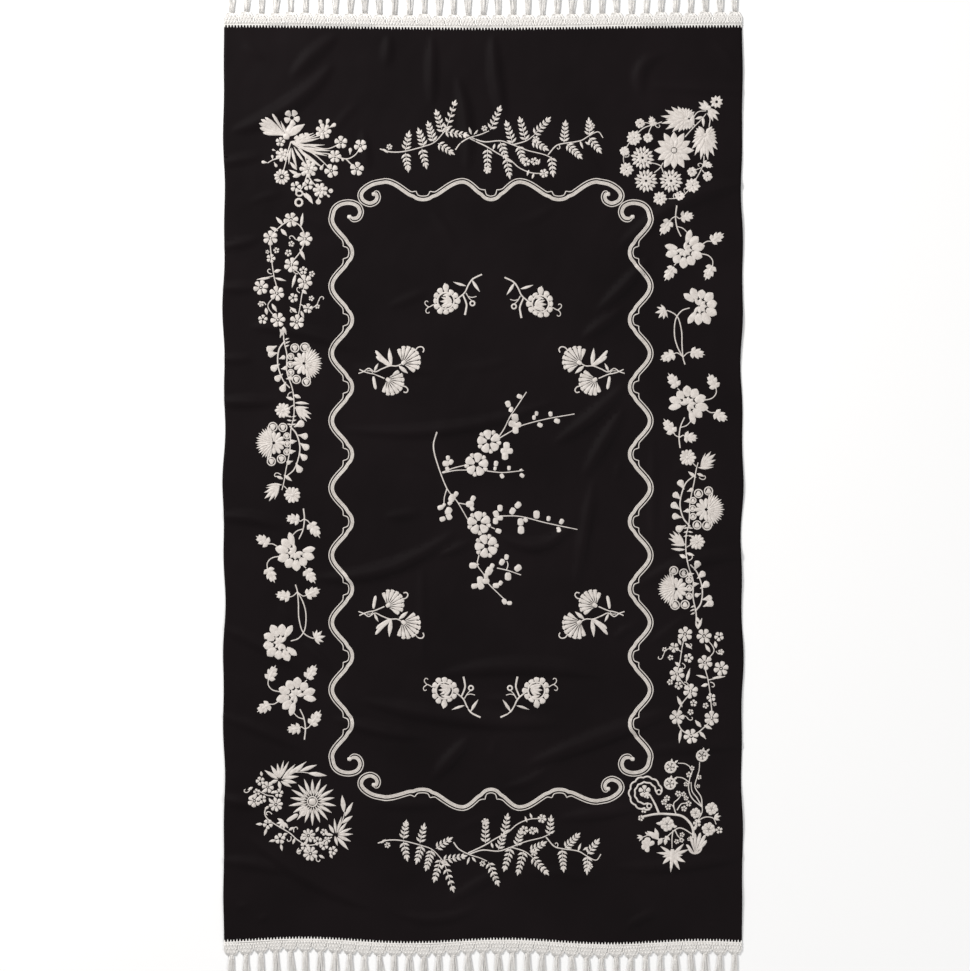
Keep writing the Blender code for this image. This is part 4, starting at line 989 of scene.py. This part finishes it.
def draw_branch(s):
    s.stem(((-78, -18), (-49, -12), (-22, -12), (4, -16), (20, -30), (26, -44), (26, -60)), 4.6, 5.6, 1.0)
    s.stem(((-42, -11), (-50, 8), (-60, 26)), 5.0, 3.6, 0.9)
    for radius, wave in ((31.0, 2.6), (22.5, -1.6)):
        ruffle = []
        for k in range(RUFFLE_STEPS + 1):
            a = math.radians(4 + 282 * k / RUFFLE_STEPS)
            reach = radius + wave * abs(math.sin(11 * a / 2))
            ruffle.append((-69 + reach * math.cos(a), 30 + reach * math.sin(a)))
        s.strip(ruffle, [1.9] * len(ruffle), 1.0, 0.0, "cross")
    for a in (math.radians(4), math.radians(286)):
        s.ring(-69 + 26.8 * math.cos(a), 30 + 26.8 * math.sin(a), 4.6, 3.2)
    s.blossom(-71, 34, 12, 5, 20)
    s.blossom(-66, 26, 7, 5, 0, heart=False)
    s.blossom(-78, -20, 6, 5, 0, heart=False)
    s.blossom(-72, -4, 6, 5, 10, heart=False)
    for line in (((-8, -13), (-13, 8), (-4, 18), (2, 26)), ((-8, -12), (-14, 4), (-22, 8)),
                 ((-6, -4), (2, 8), (12, 10)),
                 ((44, 2), (24, 20), (17, 40), (20, 62), (24, 76), (12, 88), (-4, 90)),
                 ((44, 2), (42, 22), (30, 42), (34, 62), (38, 76), (39, 92)),
                 ((44, 2), (34, 20), (24, 34), (22, 52)), ((20, 50), (6, 60), (-8, 62)),
                 ((28, -40), (36, -24), (44, -8), (44, 4)), ((34, -26), (50, -18), (66, -20), (72, -32)),
                 ((24, -52), (8, -42), (-4, -40), (-18, -50), (-30, -60), (-46, -62), (-60, -54),
                  (-74, -58)), ((-14, -44), (-16, -60), (-16, -80)), ((-10, -44), (-4, -56), (4, -62))):
        s.stem(line, 2.8, 2.0)
    for x, y, r in ((-4, 29, 6), (7, 28, 5), (12, 20, 5), (17, 9, 6), (8, -1, 6), (-26, 20, 6),
                    (-32, 12, 6), (-24, 2, 6), (24, 80, 5), (18, 67, 6), (12, 48, 5), (38, 62, 5),
                    (36, 44, 4), (4, -53, 5), (-7, -67, 5), (3, -64, 5), (18, -62, 4), (78, -44, 7),
                    (34, -30, 8)):
        s.blossom(x, y, r, 5, x % 50, heart=False)
    for x, y in ((-19, 82), (-20, 49), (44, 105)):
        s.ring(x, y, 10.5, 4.5, height=1.0)
        s.blossom(x, y, 8.5, 5, 30)
        s.petal(x + 8, y + 8, 40, 9, 5, "leaf")
        s.petal(x + 8, y + 2, -10, 8, 5, "leaf")
        s.petal(x + 2, y + 9, 85, 8, 5, "leaf")
    for x, y, r in ((63, -1, 13), (31, -10, 11), (57, -42, 14), (-26, -32, 15)):
        s.daisy(x, y, r, 8, 10, 0.3, 1.2, kind="round")
        s.blossom(x, y, r * 0.55, 5, 20, lift=0.4)
    for angle, length in ((50, 14), (20, 14), (-20, 12)):
        s.petal(68, -20, angle, length, 6, "leaf")
    for angle, length, width in ((104, 38, 7), (90, 42, 7), (76, 44, 8), (62, 44, 8), (50, 36, 8),
                                 (132, 26, 6)):
        s.petal(30, -92, angle, length, width, "drop", 0.0, 0.9, 0.0)
    s.ring(30, -78, 13, 4, 180, 180)
    for x0, y0, x1, y1, w in ((-42, -62, -66, -46, 13), (-44, -60, -50, -40, 10), (-36, -60, -44, -74, 11),
                              (-28, -60, -30, -74, 9), (-30, -56, -20, -64, 8), (-60, -56, -70, -48, 6),
                              (-74, -58, -86, -54, 5), (-74, -58, -86, -60, 5), (-74, -58, -82, -66, 5),
                              (-34, -32, -48, -30, 8), (-14, -38, -6, -36, 7), (24, -44, 34, -36, 8)):
        s.leaf(x0, y0, x1, y1, w)
    for angle, length, width in ((100, 20, 14), (140, 18, 12), (190, 16, 12), (250, 14, 11), (40, 16, 10)):
        s.petal(-63, -76, angle, length * 0.9, width, "round")
    for angle, length, width in ((168, 32, 7), (140, 30, 8), (42, 32, 8), (16, 34, 8), (-100, 34, 8),
                                 (-68, 32, 9), (216, 26, 9), (-32, 28, 9), (185, 20, 8), (-6, 20, 8)):
        s.petal(-15, -94, angle, length, width, "point", 2.0)
    s.petal(-15, -82, -92, 26, 12, "even", 0.0, 1.2)


def draw_rose_sprig(s):
    for angle in range(0, 360, 30):
        a = math.radians(angle)
        reach = 27 + (7 if angle == 90 else 0) + 2 * math.cos(3 * a)
        s.petal(math.cos(a) * 15, math.sin(a) * 15, angle, reach - 15, 13, "round", 0.0, 0.9)
    s.petal(-2, 20, 90, 16, 10, "point")
    s.ring(0, 0, 17, 4.0, height=1.1)
    for angle, length, width in ((180, 24, 8), (158, 23, 7), (202, 23, 7), (136, 20, 7), (224, 20, 7)):
        s.petal(12, -1, angle, length, width, "leaf", 0.0, 1.0, 0.2)
    s.petal(-8, -12, 10, 22, 8, "round", 3.0, 1.0, 0.2)
    s.petal(-6, 10, 20, 18, 7, "round", -2.0, 1.0, 0.2)
    s.stem(((20, 2), (37, 16), (45, 32), (54, 44), (72, 53)), 3.2, 3.6)
    s.leaf(40, 30, 14, 36, 6, -2)
    s.leaf(52, 42, 66, 17, 7, 2)
    s.stem(((34, 12), (41, -6), (40, -18), (38, -28)), 3.6, 4.6)
    s.stem(((40, 16), (46, 6), (52, 0)), 2.4, 2.0)
    s.ring(53, -5, 4.6, 3.6)
    s.stem(((44, 9), (52, 7), (61, 9)), 2.2, 2.0)
    s.stem(((-24, -7), (-34, -12), (-40, -8)), 2.4, 2.2)
    s.curl(-36, -11, 150, 8, -1)
    s.curl(-34, -12, 215, 9, 1)


def draw_carnation(s, x, y, aim, radius):
    """A carnation in profile, with toothed petals in a fan."""
    for angle, share in ((-68, 0.80), (-50, 0.95), (-33, 1.0), (-16, 1.04), (0, 1.06), (16, 1.04),
                         (33, 1.0), (50, 0.95), (68, 0.82)):
        a = math.radians(aim + angle)
        reach = radius * share
        s.petal(x + math.cos(a) * 6, y + math.sin(a) * 6, aim + angle, reach - 6, 8.6, "drop")
        for spread in (24, -24):
            s.petal(x + math.cos(a) * reach * 0.80, y + math.sin(a) * reach * 0.80, aim + angle + spread,
                    reach * 0.20, 5.5, "round")
    a = math.radians(aim)
    s.petal(x - math.cos(a) * 2, y - math.sin(a) * 2, aim, 10, 9, "even", 0.0, 1.1)


def draw_carnation_pair(s):
    draw_carnation(s, 25, 9, 36, 37)
    draw_carnation(s, -6, -22, -36, 35)
    s.stem(((-61, -3), (-50, -8), (-40, -11), (-30, -13), (-11, -21)), 2.6, 2.8)
    s.stem(((-63, -11), (-52, -7), (-42, -1), (-30, -8), (-16, -2), (0, 4), (14, 4), (26, 10)), 2.6, 2.8)
    s.stem(((-46, -6), (-38, -6), (-34, -10)), 2.0, 1.8)
    s.petal(2, 5, 148, 42, 8, "even", -9.0)
    s.petal(2, 5, 158, 34, 8, "even", -6.0)
    s.petal(3, 5, 102, 35, 10, "leaf", -3.0, threads="slant")
    s.leaf(-31, -7, -25, 10, 6, -2)
    s.petal(-33, -17, -84, 26, 7, "even", 2.0)
    s.leaf(18, 4, 36, -11, 9)
    s.stem(((50, 34), (56, 41), (64, 42), (68, 37), (66, 31)), 2.8, 2.8)
    s.stem(((24, -36), (32, -38), (36, -44), (33, -49), (27, -48)), 2.8, 2.8)


def draw_open_blossom(s, x, y, turn):
    for k in range(5):
        a = math.radians(turn + 72 * k)
        s.petal(x + math.cos(a) * 4.6, y + math.sin(a) * 4.6, turn + 72 * k, 19, 17.5, "round", 0.0, 1.1, 0.2)
        b = math.radians(turn + 36 + 72 * k)
        s.petal(x + math.cos(b) * 15, y + math.sin(b) * 15, turn + 36 + 72 * k, 9.5, 9, "round", 0.0, 0.8)


def draw_bud(s, x, y, radius, turn):
    a = math.radians(turn)
    s.petal(x - radius * math.cos(a), y - radius * math.sin(a), turn, 2 * radius, 1.75 * radius, "even",
            0.0, 1.0)


BLOSSOM_STEMS = (
    ((-106, 136), (-113, 108), (-105, 72), (-86, 23), (-65, -4), (-44, -40)),
    ((-96, 55), (-72, 64), (-48, 70)), ((-95, 54), (-70, 59), (-46, 60)),
    ((-6, 58), (10, 56), (30, 55), (67, 59)),
    ((16, 124), (28, 142), (40, 166), (56, 190), (73, 216)),
    ((16, 122), (40, 136), (64, 149), (113, 162), (169, 172)),
    ((20, -32), (61, -33), (113, -46), (175, -59)),
    ((-22, -110), (-25, -130), (-13, -148), (-4, -166), (24, -194), (34, -204)),
    ((14, -136), (36, -141), (62, -150)),
    ((-86, 23), (-91, 6), (-92, -8)), ((-64, -6), (-52, -8), (-46, -9)), ((33, -140), (36, -130), (34, -122)),
    ((2, -54), (10, -58)), ((-22, -128), (-30, -131)),
)
# Buds and small side flowers of the blossom branch. Columns: x, y, radius, direction of the bud.
BLOSSOM_BUDS = (
    (12, 73, 5.5, 80), (10, 63, 4, 80), (38, 64, 4.5, 90), (24, 48, 5, -60), (64, 49, 5, -40),
    (62, 60, 3, 20), (59, 207, 5.5, 160), (36, 192, 6.5, 110), (42, 181, 5.5, 60), (93, 173, 4.5, 80),
    (88, 165, 4.5, 90), (100, 150, 5.5, -30), (121, 172, 5, 100), (134, 158, 6, -20), (50, 164, 8.5, 100),
    (45, 152, 8, 160), (56, 150, 7, 20), (51, 140, 7.5, -90), (33, 108, 8, 90), (28, 98, 7, 180),
    (39, 98, 7, 0), (30, 88, 8, -90), (20, -16, 6.5, 90), (12, -28, 7, 110), (20, -36, 6, 0),
    (11, -42, 6.5, -90), (17, -62, 6, -20), (45, -22, 7, 60), (56, -10, 7, 45), (61, -44, 7.5, -90),
    (62, -60, 8, -90), (71, -40, 5, -40), (93, -29, 8, 90), (117, -37, 5, 80), (143, -43, 5.5, 60),
    (137, -59, 5.5, -70), (-34, -131, 7.5, 180), (4, -132, 5.5, 60), (-2, -142, 8.5, 60),
    (-8, -152, 5.5, -90), (-20, -160, 7.5, 90), (-19, -171, 8, -60), (-31, -172, 6.5, 190),
    (-8, -162, 7, 0), (12, -171, 6.5, 0), (21, -166, 5, 60), (29, -203, 6, -60), (39, -206, 5, 0),
    (24, -124, 6.5, 60), (33, -114, 5.5, 80), (56, -136, 7.5, 40), (36, -153, 8, -90), (-99, -15, 6, 200),
    (-92, -10, 4, 60), (-83, -22, 8, 60), (-82, -33, 7, -60), (-95, -38, 6, 200), (-76, 4, 8, 60),
    (-68, 12, 5.5, 60), (-80, -6, 5, 220), (-40, -8, 8, 10), (-34, 3, 6, 60), (-36, -17, 5, -60),
    (-84, 84, 5, 90), (-88, 73, 7, 180), (-78, 76, 5.5, 60), (-85, 62, 5, -60),
)


def draw_blossom_branch(s):
    for line in BLOSSOM_STEMS:
        s.stem(line, 3.4 if line is BLOSSOM_STEMS[0] else 2.6, 2.2)
    for x, y, turn in ((-2, 117, 100), (-27, 71, 80), (-22, -46, 95), (-7, -92, 110)):
        draw_open_blossom(s, x, y, turn)
    for x, y, radius, turn in BLOSSOM_BUDS:
        draw_bud(s, x, y, radius, turn)


# Where each spray lies. Columns: name, drawing, x, y, turned half round, flipped in x, flipped in y.
PLACES = (
    ("garland_left", draw_garland, -386, 417, 0, 0, 0),
    ("carnation_chain_left", draw_chain, -386, 127, 0, 0, 0),
    ("lotus_left_1", draw_lotus, -374, -137, 0, 0, 0),
    ("lotus_left_2", draw_lotus_bud, -398, -315, 0, 0, 0),
    ("lotus_left_3", draw_lotus, -372, -425, 0, 0, 1),
    ("garland_right", draw_garland, 418, -395, 1, 0, 0),
    ("carnation_chain_right", draw_chain, 414, -98, 1, 0, 0),
    ("lotus_right_1", draw_lotus, 409, 158, 1, 0, 0),
    ("lotus_right_2", draw_lotus_bud, 427, 351, 1, 0, 0),
    ("lotus_right_3", draw_lotus, 402, 468, 1, 0, 1),
    ("fern_top", draw_fern, 18, 677, 0, 0, 0),
    ("fern_bottom", draw_fern, 14, -727, 0, 0, 1),
    ("bouquet_corner", draw_bouquet, -346, 651, 0, 0, 0),
    ("wreath_corner", draw_wreath, 374, 667, 0, 0, 0),
    ("sun_wreath_corner", draw_sun_wreath, -362, -653, 0, 0, 0),
    ("branch_corner", draw_branch, 394, -649, 0, 0, 0),
    ("rose_sprig_1", draw_rose_sprig, -74, 365, 0, 0, 0),
    ("rose_sprig_2", draw_rose_sprig, 115, 359, 0, 1, 0),
    ("rose_sprig_3", draw_rose_sprig, -77, -414, 0, 0, 1),
    ("rose_sprig_4", draw_rose_sprig, 107, -414, 0, 1, 1),
    ("carnation_pair_1", draw_carnation_pair, -186, 231, 0, 0, 0),
    ("carnation_pair_2", draw_carnation_pair, 220, 231, 0, 1, 0),
    ("carnation_pair_3", draw_carnation_pair, -186, -267, 0, 0, 1),
    ("carnation_pair_4", draw_carnation_pair, 220, -267, 0, 1, 1),
    ("blossom_branch", draw_blossom_branch, 14, -33, 0, 0, 0),
)


# ---- fringe ----

HEADING_DEPTH = 25.0
CORDS = 9
YARNS = 13
YARN_RADIUS = 0.85
UNEVEN_STEP = 1.3
UNEVEN_STRIDE = 5
UNEVEN_COUNT = 7
LEANS = ((3.5, 0.9), (1.5, 2.3))
KNOT_ROWS = 3
NECK_TURNS = 3
NECK_HALF = 4.6
YARN_STEPS = 8
YARN_ROOT_HALF = 3.8
YARN_TIP_HALF = 8.8
TOOTH_PITCH = 6.2
TOOTH_REACH = 5.6
EDGE_STEPS = 180


class Yarns:
    """Round yarns as thin tubes, gathered into one mesh."""

    def __init__(self):
        self.points, self.faces, self.uvs = [], [], []

    def tube(self, line, radii, sides=4, flat=1.0):
        first, along, last = len(self.points), 0.0, len(line) - 1
        for i, p in enumerate(line):
            before, after = line[max(i - 1, 0)], line[min(i + 1, last)]
            tx, ty = after[0] - before[0], after[1] - before[1]
            size = math.hypot(tx, ty) or 1.0
            if i:
                along += math.dist(p, line[i - 1])
            for k in range(sides):
                a = 2 * math.pi * (k + 0.5) / sides
                out, up = math.cos(a) * radii[i], math.sin(a) * radii[i] * flat
                self.points.append((p[0] - ty / size * out, p[1] + tx / size * out, max(0.15, p[2] + up)))
                self.uvs.append((along * 0.8 + k * 0.6, k))
        for i in range(last):
            for k in range(sides):
                a, b = first + i * sides + k, first + i * sides + (k + 1) % sides
                self.faces.append((a, b, b + sides, a + sides))
        self.faces.append(tuple(first + k for k in reversed(range(sides))))
        self.faces.append(tuple(first + last * sides + k for k in range(sides)))

    def piece(self, name, material):
        made = mesh_object(name, self.points, self.faces, material, np.array(self.uvs))
        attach(made, "root")
        return made


def make_fringe(name, side, material):
    """The knotted heading and its tassels, along one end."""
    rng = np.random.default_rng(11 + side)
    yarns = Yarns()

    def edge(x, out, z):
        return (x, float(end_line(np.float64(x), side)) + side * out, z)

    for i in range(TASSELS):
        middle = -HALF_WIDTH + (i + 0.5) * PITCH
        lean = sum(swing * math.sin(change * i + side) for swing, change in LEANS)
        unevenness = UNEVEN_STEP * (UNEVEN_STRIDE * i % UNEVEN_COUNT)
        tip_y = side * (HALF_LENGTH + FRINGE_REACH - unevenness)
        depth = HEADING_DEPTH + rng.uniform(-2.0, 2.0)
        # cords that slant from the cloth's edge to the tassel, in two layers that cross
        for layer, slant in ((0, 1), (1, -1)):
            for k in range(CORDS):
                t = (k + 0.5) / CORDS * 2 - 1
                x0 = middle + t * PITCH * 0.5
                x1 = middle + t * PITCH * 0.20 + slant * 2.6
                half = middle + t * PITCH * 0.42 + slant * 3.2
                z = 1.1 + 0.9 * layer
                line = [edge(x0, -0.6, z + 0.2), edge((x0 + half) / 2, depth * 0.28, z + 0.4),
                        edge(half, depth * 0.58, z), edge(x1, depth * 0.98, z + 0.5)]
                yarns.tube(line, [1.35, 1.5, 1.5, 1.3], 4, 0.8)
        # knots on the slanting cords
        for row in range(KNOT_ROWS):
            for k in range(5 - row):
                x = middle + (k - (4 - row) / 2) * PITCH * 0.21
                out = depth * (0.22 + 0.27 * row)
                yarns.tube([edge(x - 1.3, out - 1.2, 2.6), edge(x, out, 3.3), edge(x + 1.3, out + 1.2, 2.6)],
                           [0.9, 1.9, 0.9], 5, 0.8)
        # the tassel's neck
        root_y = float(end_line(np.float64(middle), side)) + side * depth
        for k in range(NECK_TURNS):
            y = root_y + side * (0.6 + 1.9 * k)
            neck = [(middle - NECK_HALF, y - 0.5, 1.6), (middle, y, 3.0), (middle + NECK_HALF, y + 0.5, 1.6)]
            yarns.tube(neck, [1.0, 1.4, 1.0], 5, 0.9)
        for k in range(YARNS):
            t = (k + 0.5) / YARNS * 2 - 1
            spread = YARN_TIP_HALF + rng.uniform(-0.8, 0.8)
            high = 0.9 + 2.3 * (1 - t * t) * rng.uniform(0.35, 1.0)
            sway = rng.uniform(-2.8, 2.8)
            reach = tip_y + side * rng.uniform(-7.0, 0.0)
            line = []
            for j in range(YARN_STEPS + 1):
                u = j / YARN_STEPS
                half = YARN_ROOT_HALF + (spread - YARN_ROOT_HALF) * min(1.0, u * 1.5)
                x = middle + lean * u ** 1.2 + t * half
                x += sway * math.sin(math.pi * u) + 0.8 * math.sin(5 * u + k * 1.7 + i)
                line.append((x, root_y + (reach - root_y) * u, 0.9 + (high + 0.5) * (1 - 0.62 * u)))
            yarns.tube(line, [YARN_RADIUS] * YARN_STEPS + [YARN_RADIUS * 0.6], 3)
    piece = yarns.piece(name + "_yarns", material)
    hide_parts(name)
    return piece


def make_edge_stitches(name, side, material):
    """Cream teeth of thread that bind the cloth's end to the heading."""
    spray = Spray()
    count = int(PANEL_WIDTH / TOOTH_PITCH)
    for k in range(count + 1):
        x = -HALF_WIDTH + 1.5 + (PANEL_WIDTH - 3.0) * k / count
        y = float(end_line(np.float64(x), side))
        angle = -90 * side
        spray.petal(x, y + side * 1.2, angle, TOOTH_REACH + 1.2 + 0.5 * math.sin(k * 1.9), 3.4, "point",
                    0.0, 0.9)
    places = np.linspace(-HALF_WIDTH, HALF_WIDTH, EDGE_STEPS)
    line = [(x, float(end_line(np.float64(x), side)) + side * 0.4) for x in places]
    spray.strip(line, [1.3] * len(line), 1.3, 0.0, "chain")
    points = np.array(spray.points)
    z = cloth_top(points[:, 0], points[:, 1]) + points[:, 2]
    piece = mesh_object(name, np.stack([points[:, 0], points[:, 1], z], axis=1), spray.faces, material,
                        np.array(spray.uvs))
    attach(piece, "root")
    return piece


# ---- the scene ----

# In metres. The floor lies a little under the shawl's underside.
FLOOR_HALF = 6.0
FLOOR_DROP = 0.0004
# Columns: name, place, size, power, colour.
LIGHTS = (
    ("key", (-3.6, 3.2, 3.6), 1.6, 330.0, (1.0, 0.985, 0.97)),
    ("fill", (3.5, -2.5, 4.5), 3.0, 80.0, (1.0, 1.0, 1.0)),
)
WORLD_LIGHT = 0.50


def make_camera():
    data = bpy.data.cameras.new("camera")
    data.lens = LENS
    data.sensor_width = SENSOR
    data.clip_end = 50.0
    camera = bpy.data.objects.new("camera", data)
    camera.location = (VIEW_X * MM, VIEW_Y * MM, VIEW_HEIGHT * MM * LENS / SENSOR)
    bpy.context.scene.collection.objects.link(camera)
    bpy.context.scene.camera = camera
    bpy.context.scene.view_settings.view_transform = "Standard"


def make_floor():
    corners = [(x * FLOOR_HALF, y * FLOOR_HALF, -FLOOR_DROP) for x, y in ((-1, -1), (1, -1), (1, 1), (-1, 1))]
    mesh = bpy.data.meshes.new("floor")
    mesh.from_pydata(corners, [], [(0, 1, 2, 3)])
    material = shader_of("floor", (0.90, 0.90, 0.90), 0.9, specular=0.1)[0]
    mesh.materials.append(material)
    floor = bpy.data.objects.new("floor", mesh)
    bpy.context.scene.collection.objects.link(floor)


def add_light(name, place, size, power, colour):
    data = bpy.data.lights.new(name, "AREA")
    data.shape = "DISK"
    data.size = size
    data.energy = power
    data.color = colour
    lamp = bpy.data.objects.new(name, data)
    lamp.location = place
    lamp.rotation_euler = (-Vector(place)).to_track_quat("-Z", "Y").to_euler()
    bpy.context.scene.collection.objects.link(lamp)


def make_lights():
    for light in LIGHTS:
        add_light(*light)
    world = bpy.data.worlds.new("studio")
    world.use_nodes = True
    world.node_tree.nodes["Background"].inputs["Color"].default_value = (1.0, 1.0, 1.0, 1.0)
    world.node_tree.nodes["Background"].inputs["Strength"].default_value = WORLD_LIGHT
    bpy.context.scene.world = world


def main():
    make_camera()
    make_floor()
    make_lights()
    crepe = crepe_material()
    # In each silk's three colours, the first is painted shade for the grooves between threads and the last is
    # painted light for their crests. The mottle also moves between them as random tone.
    silk = silk_material("ecru_silk", 1.1, ((0.34, 0.30, 0.27), (0.63, 0.58, 0.54), (0.78, 0.74, 0.70)))
    chain = silk_material("chain_silk", 2.6, ((0.34, 0.30, 0.27), (0.62, 0.575, 0.53), (0.78, 0.74, 0.70)),
                          0.4)
    yarn = silk_material("cream_yarn", 2.2, ((0.66, 0.63, 0.60), (0.82, 0.80, 0.77), (0.90, 0.88, 0.86)), 0.3)

    cloth = make_cloth(crepe)
    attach(cloth, "root")
    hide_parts("panel")

    for name, stroke in (("scroll_left", side_stroke(-1)), ("scroll_right", side_stroke(1)),
                         ("scroll_top", end_stroke(1)), ("scroll_bottom", end_stroke(-1))):
        make_scroll(name, stroke, chain)
    for name, drawing, x, y, turned, flip_x, flip_y in PLACES:
        spray = Spray(x, y, turned, flip_x, flip_y)
        drawing(spray)
        spray.lay(name + "_stitches", silk, (name,))
    for name, side in (("top", 1), ("bottom", -1)):
        make_fringe("fringe_" + name, side, yarn)
        make_edge_stitches("edge_stitches_" + name, side, yarn)


main()
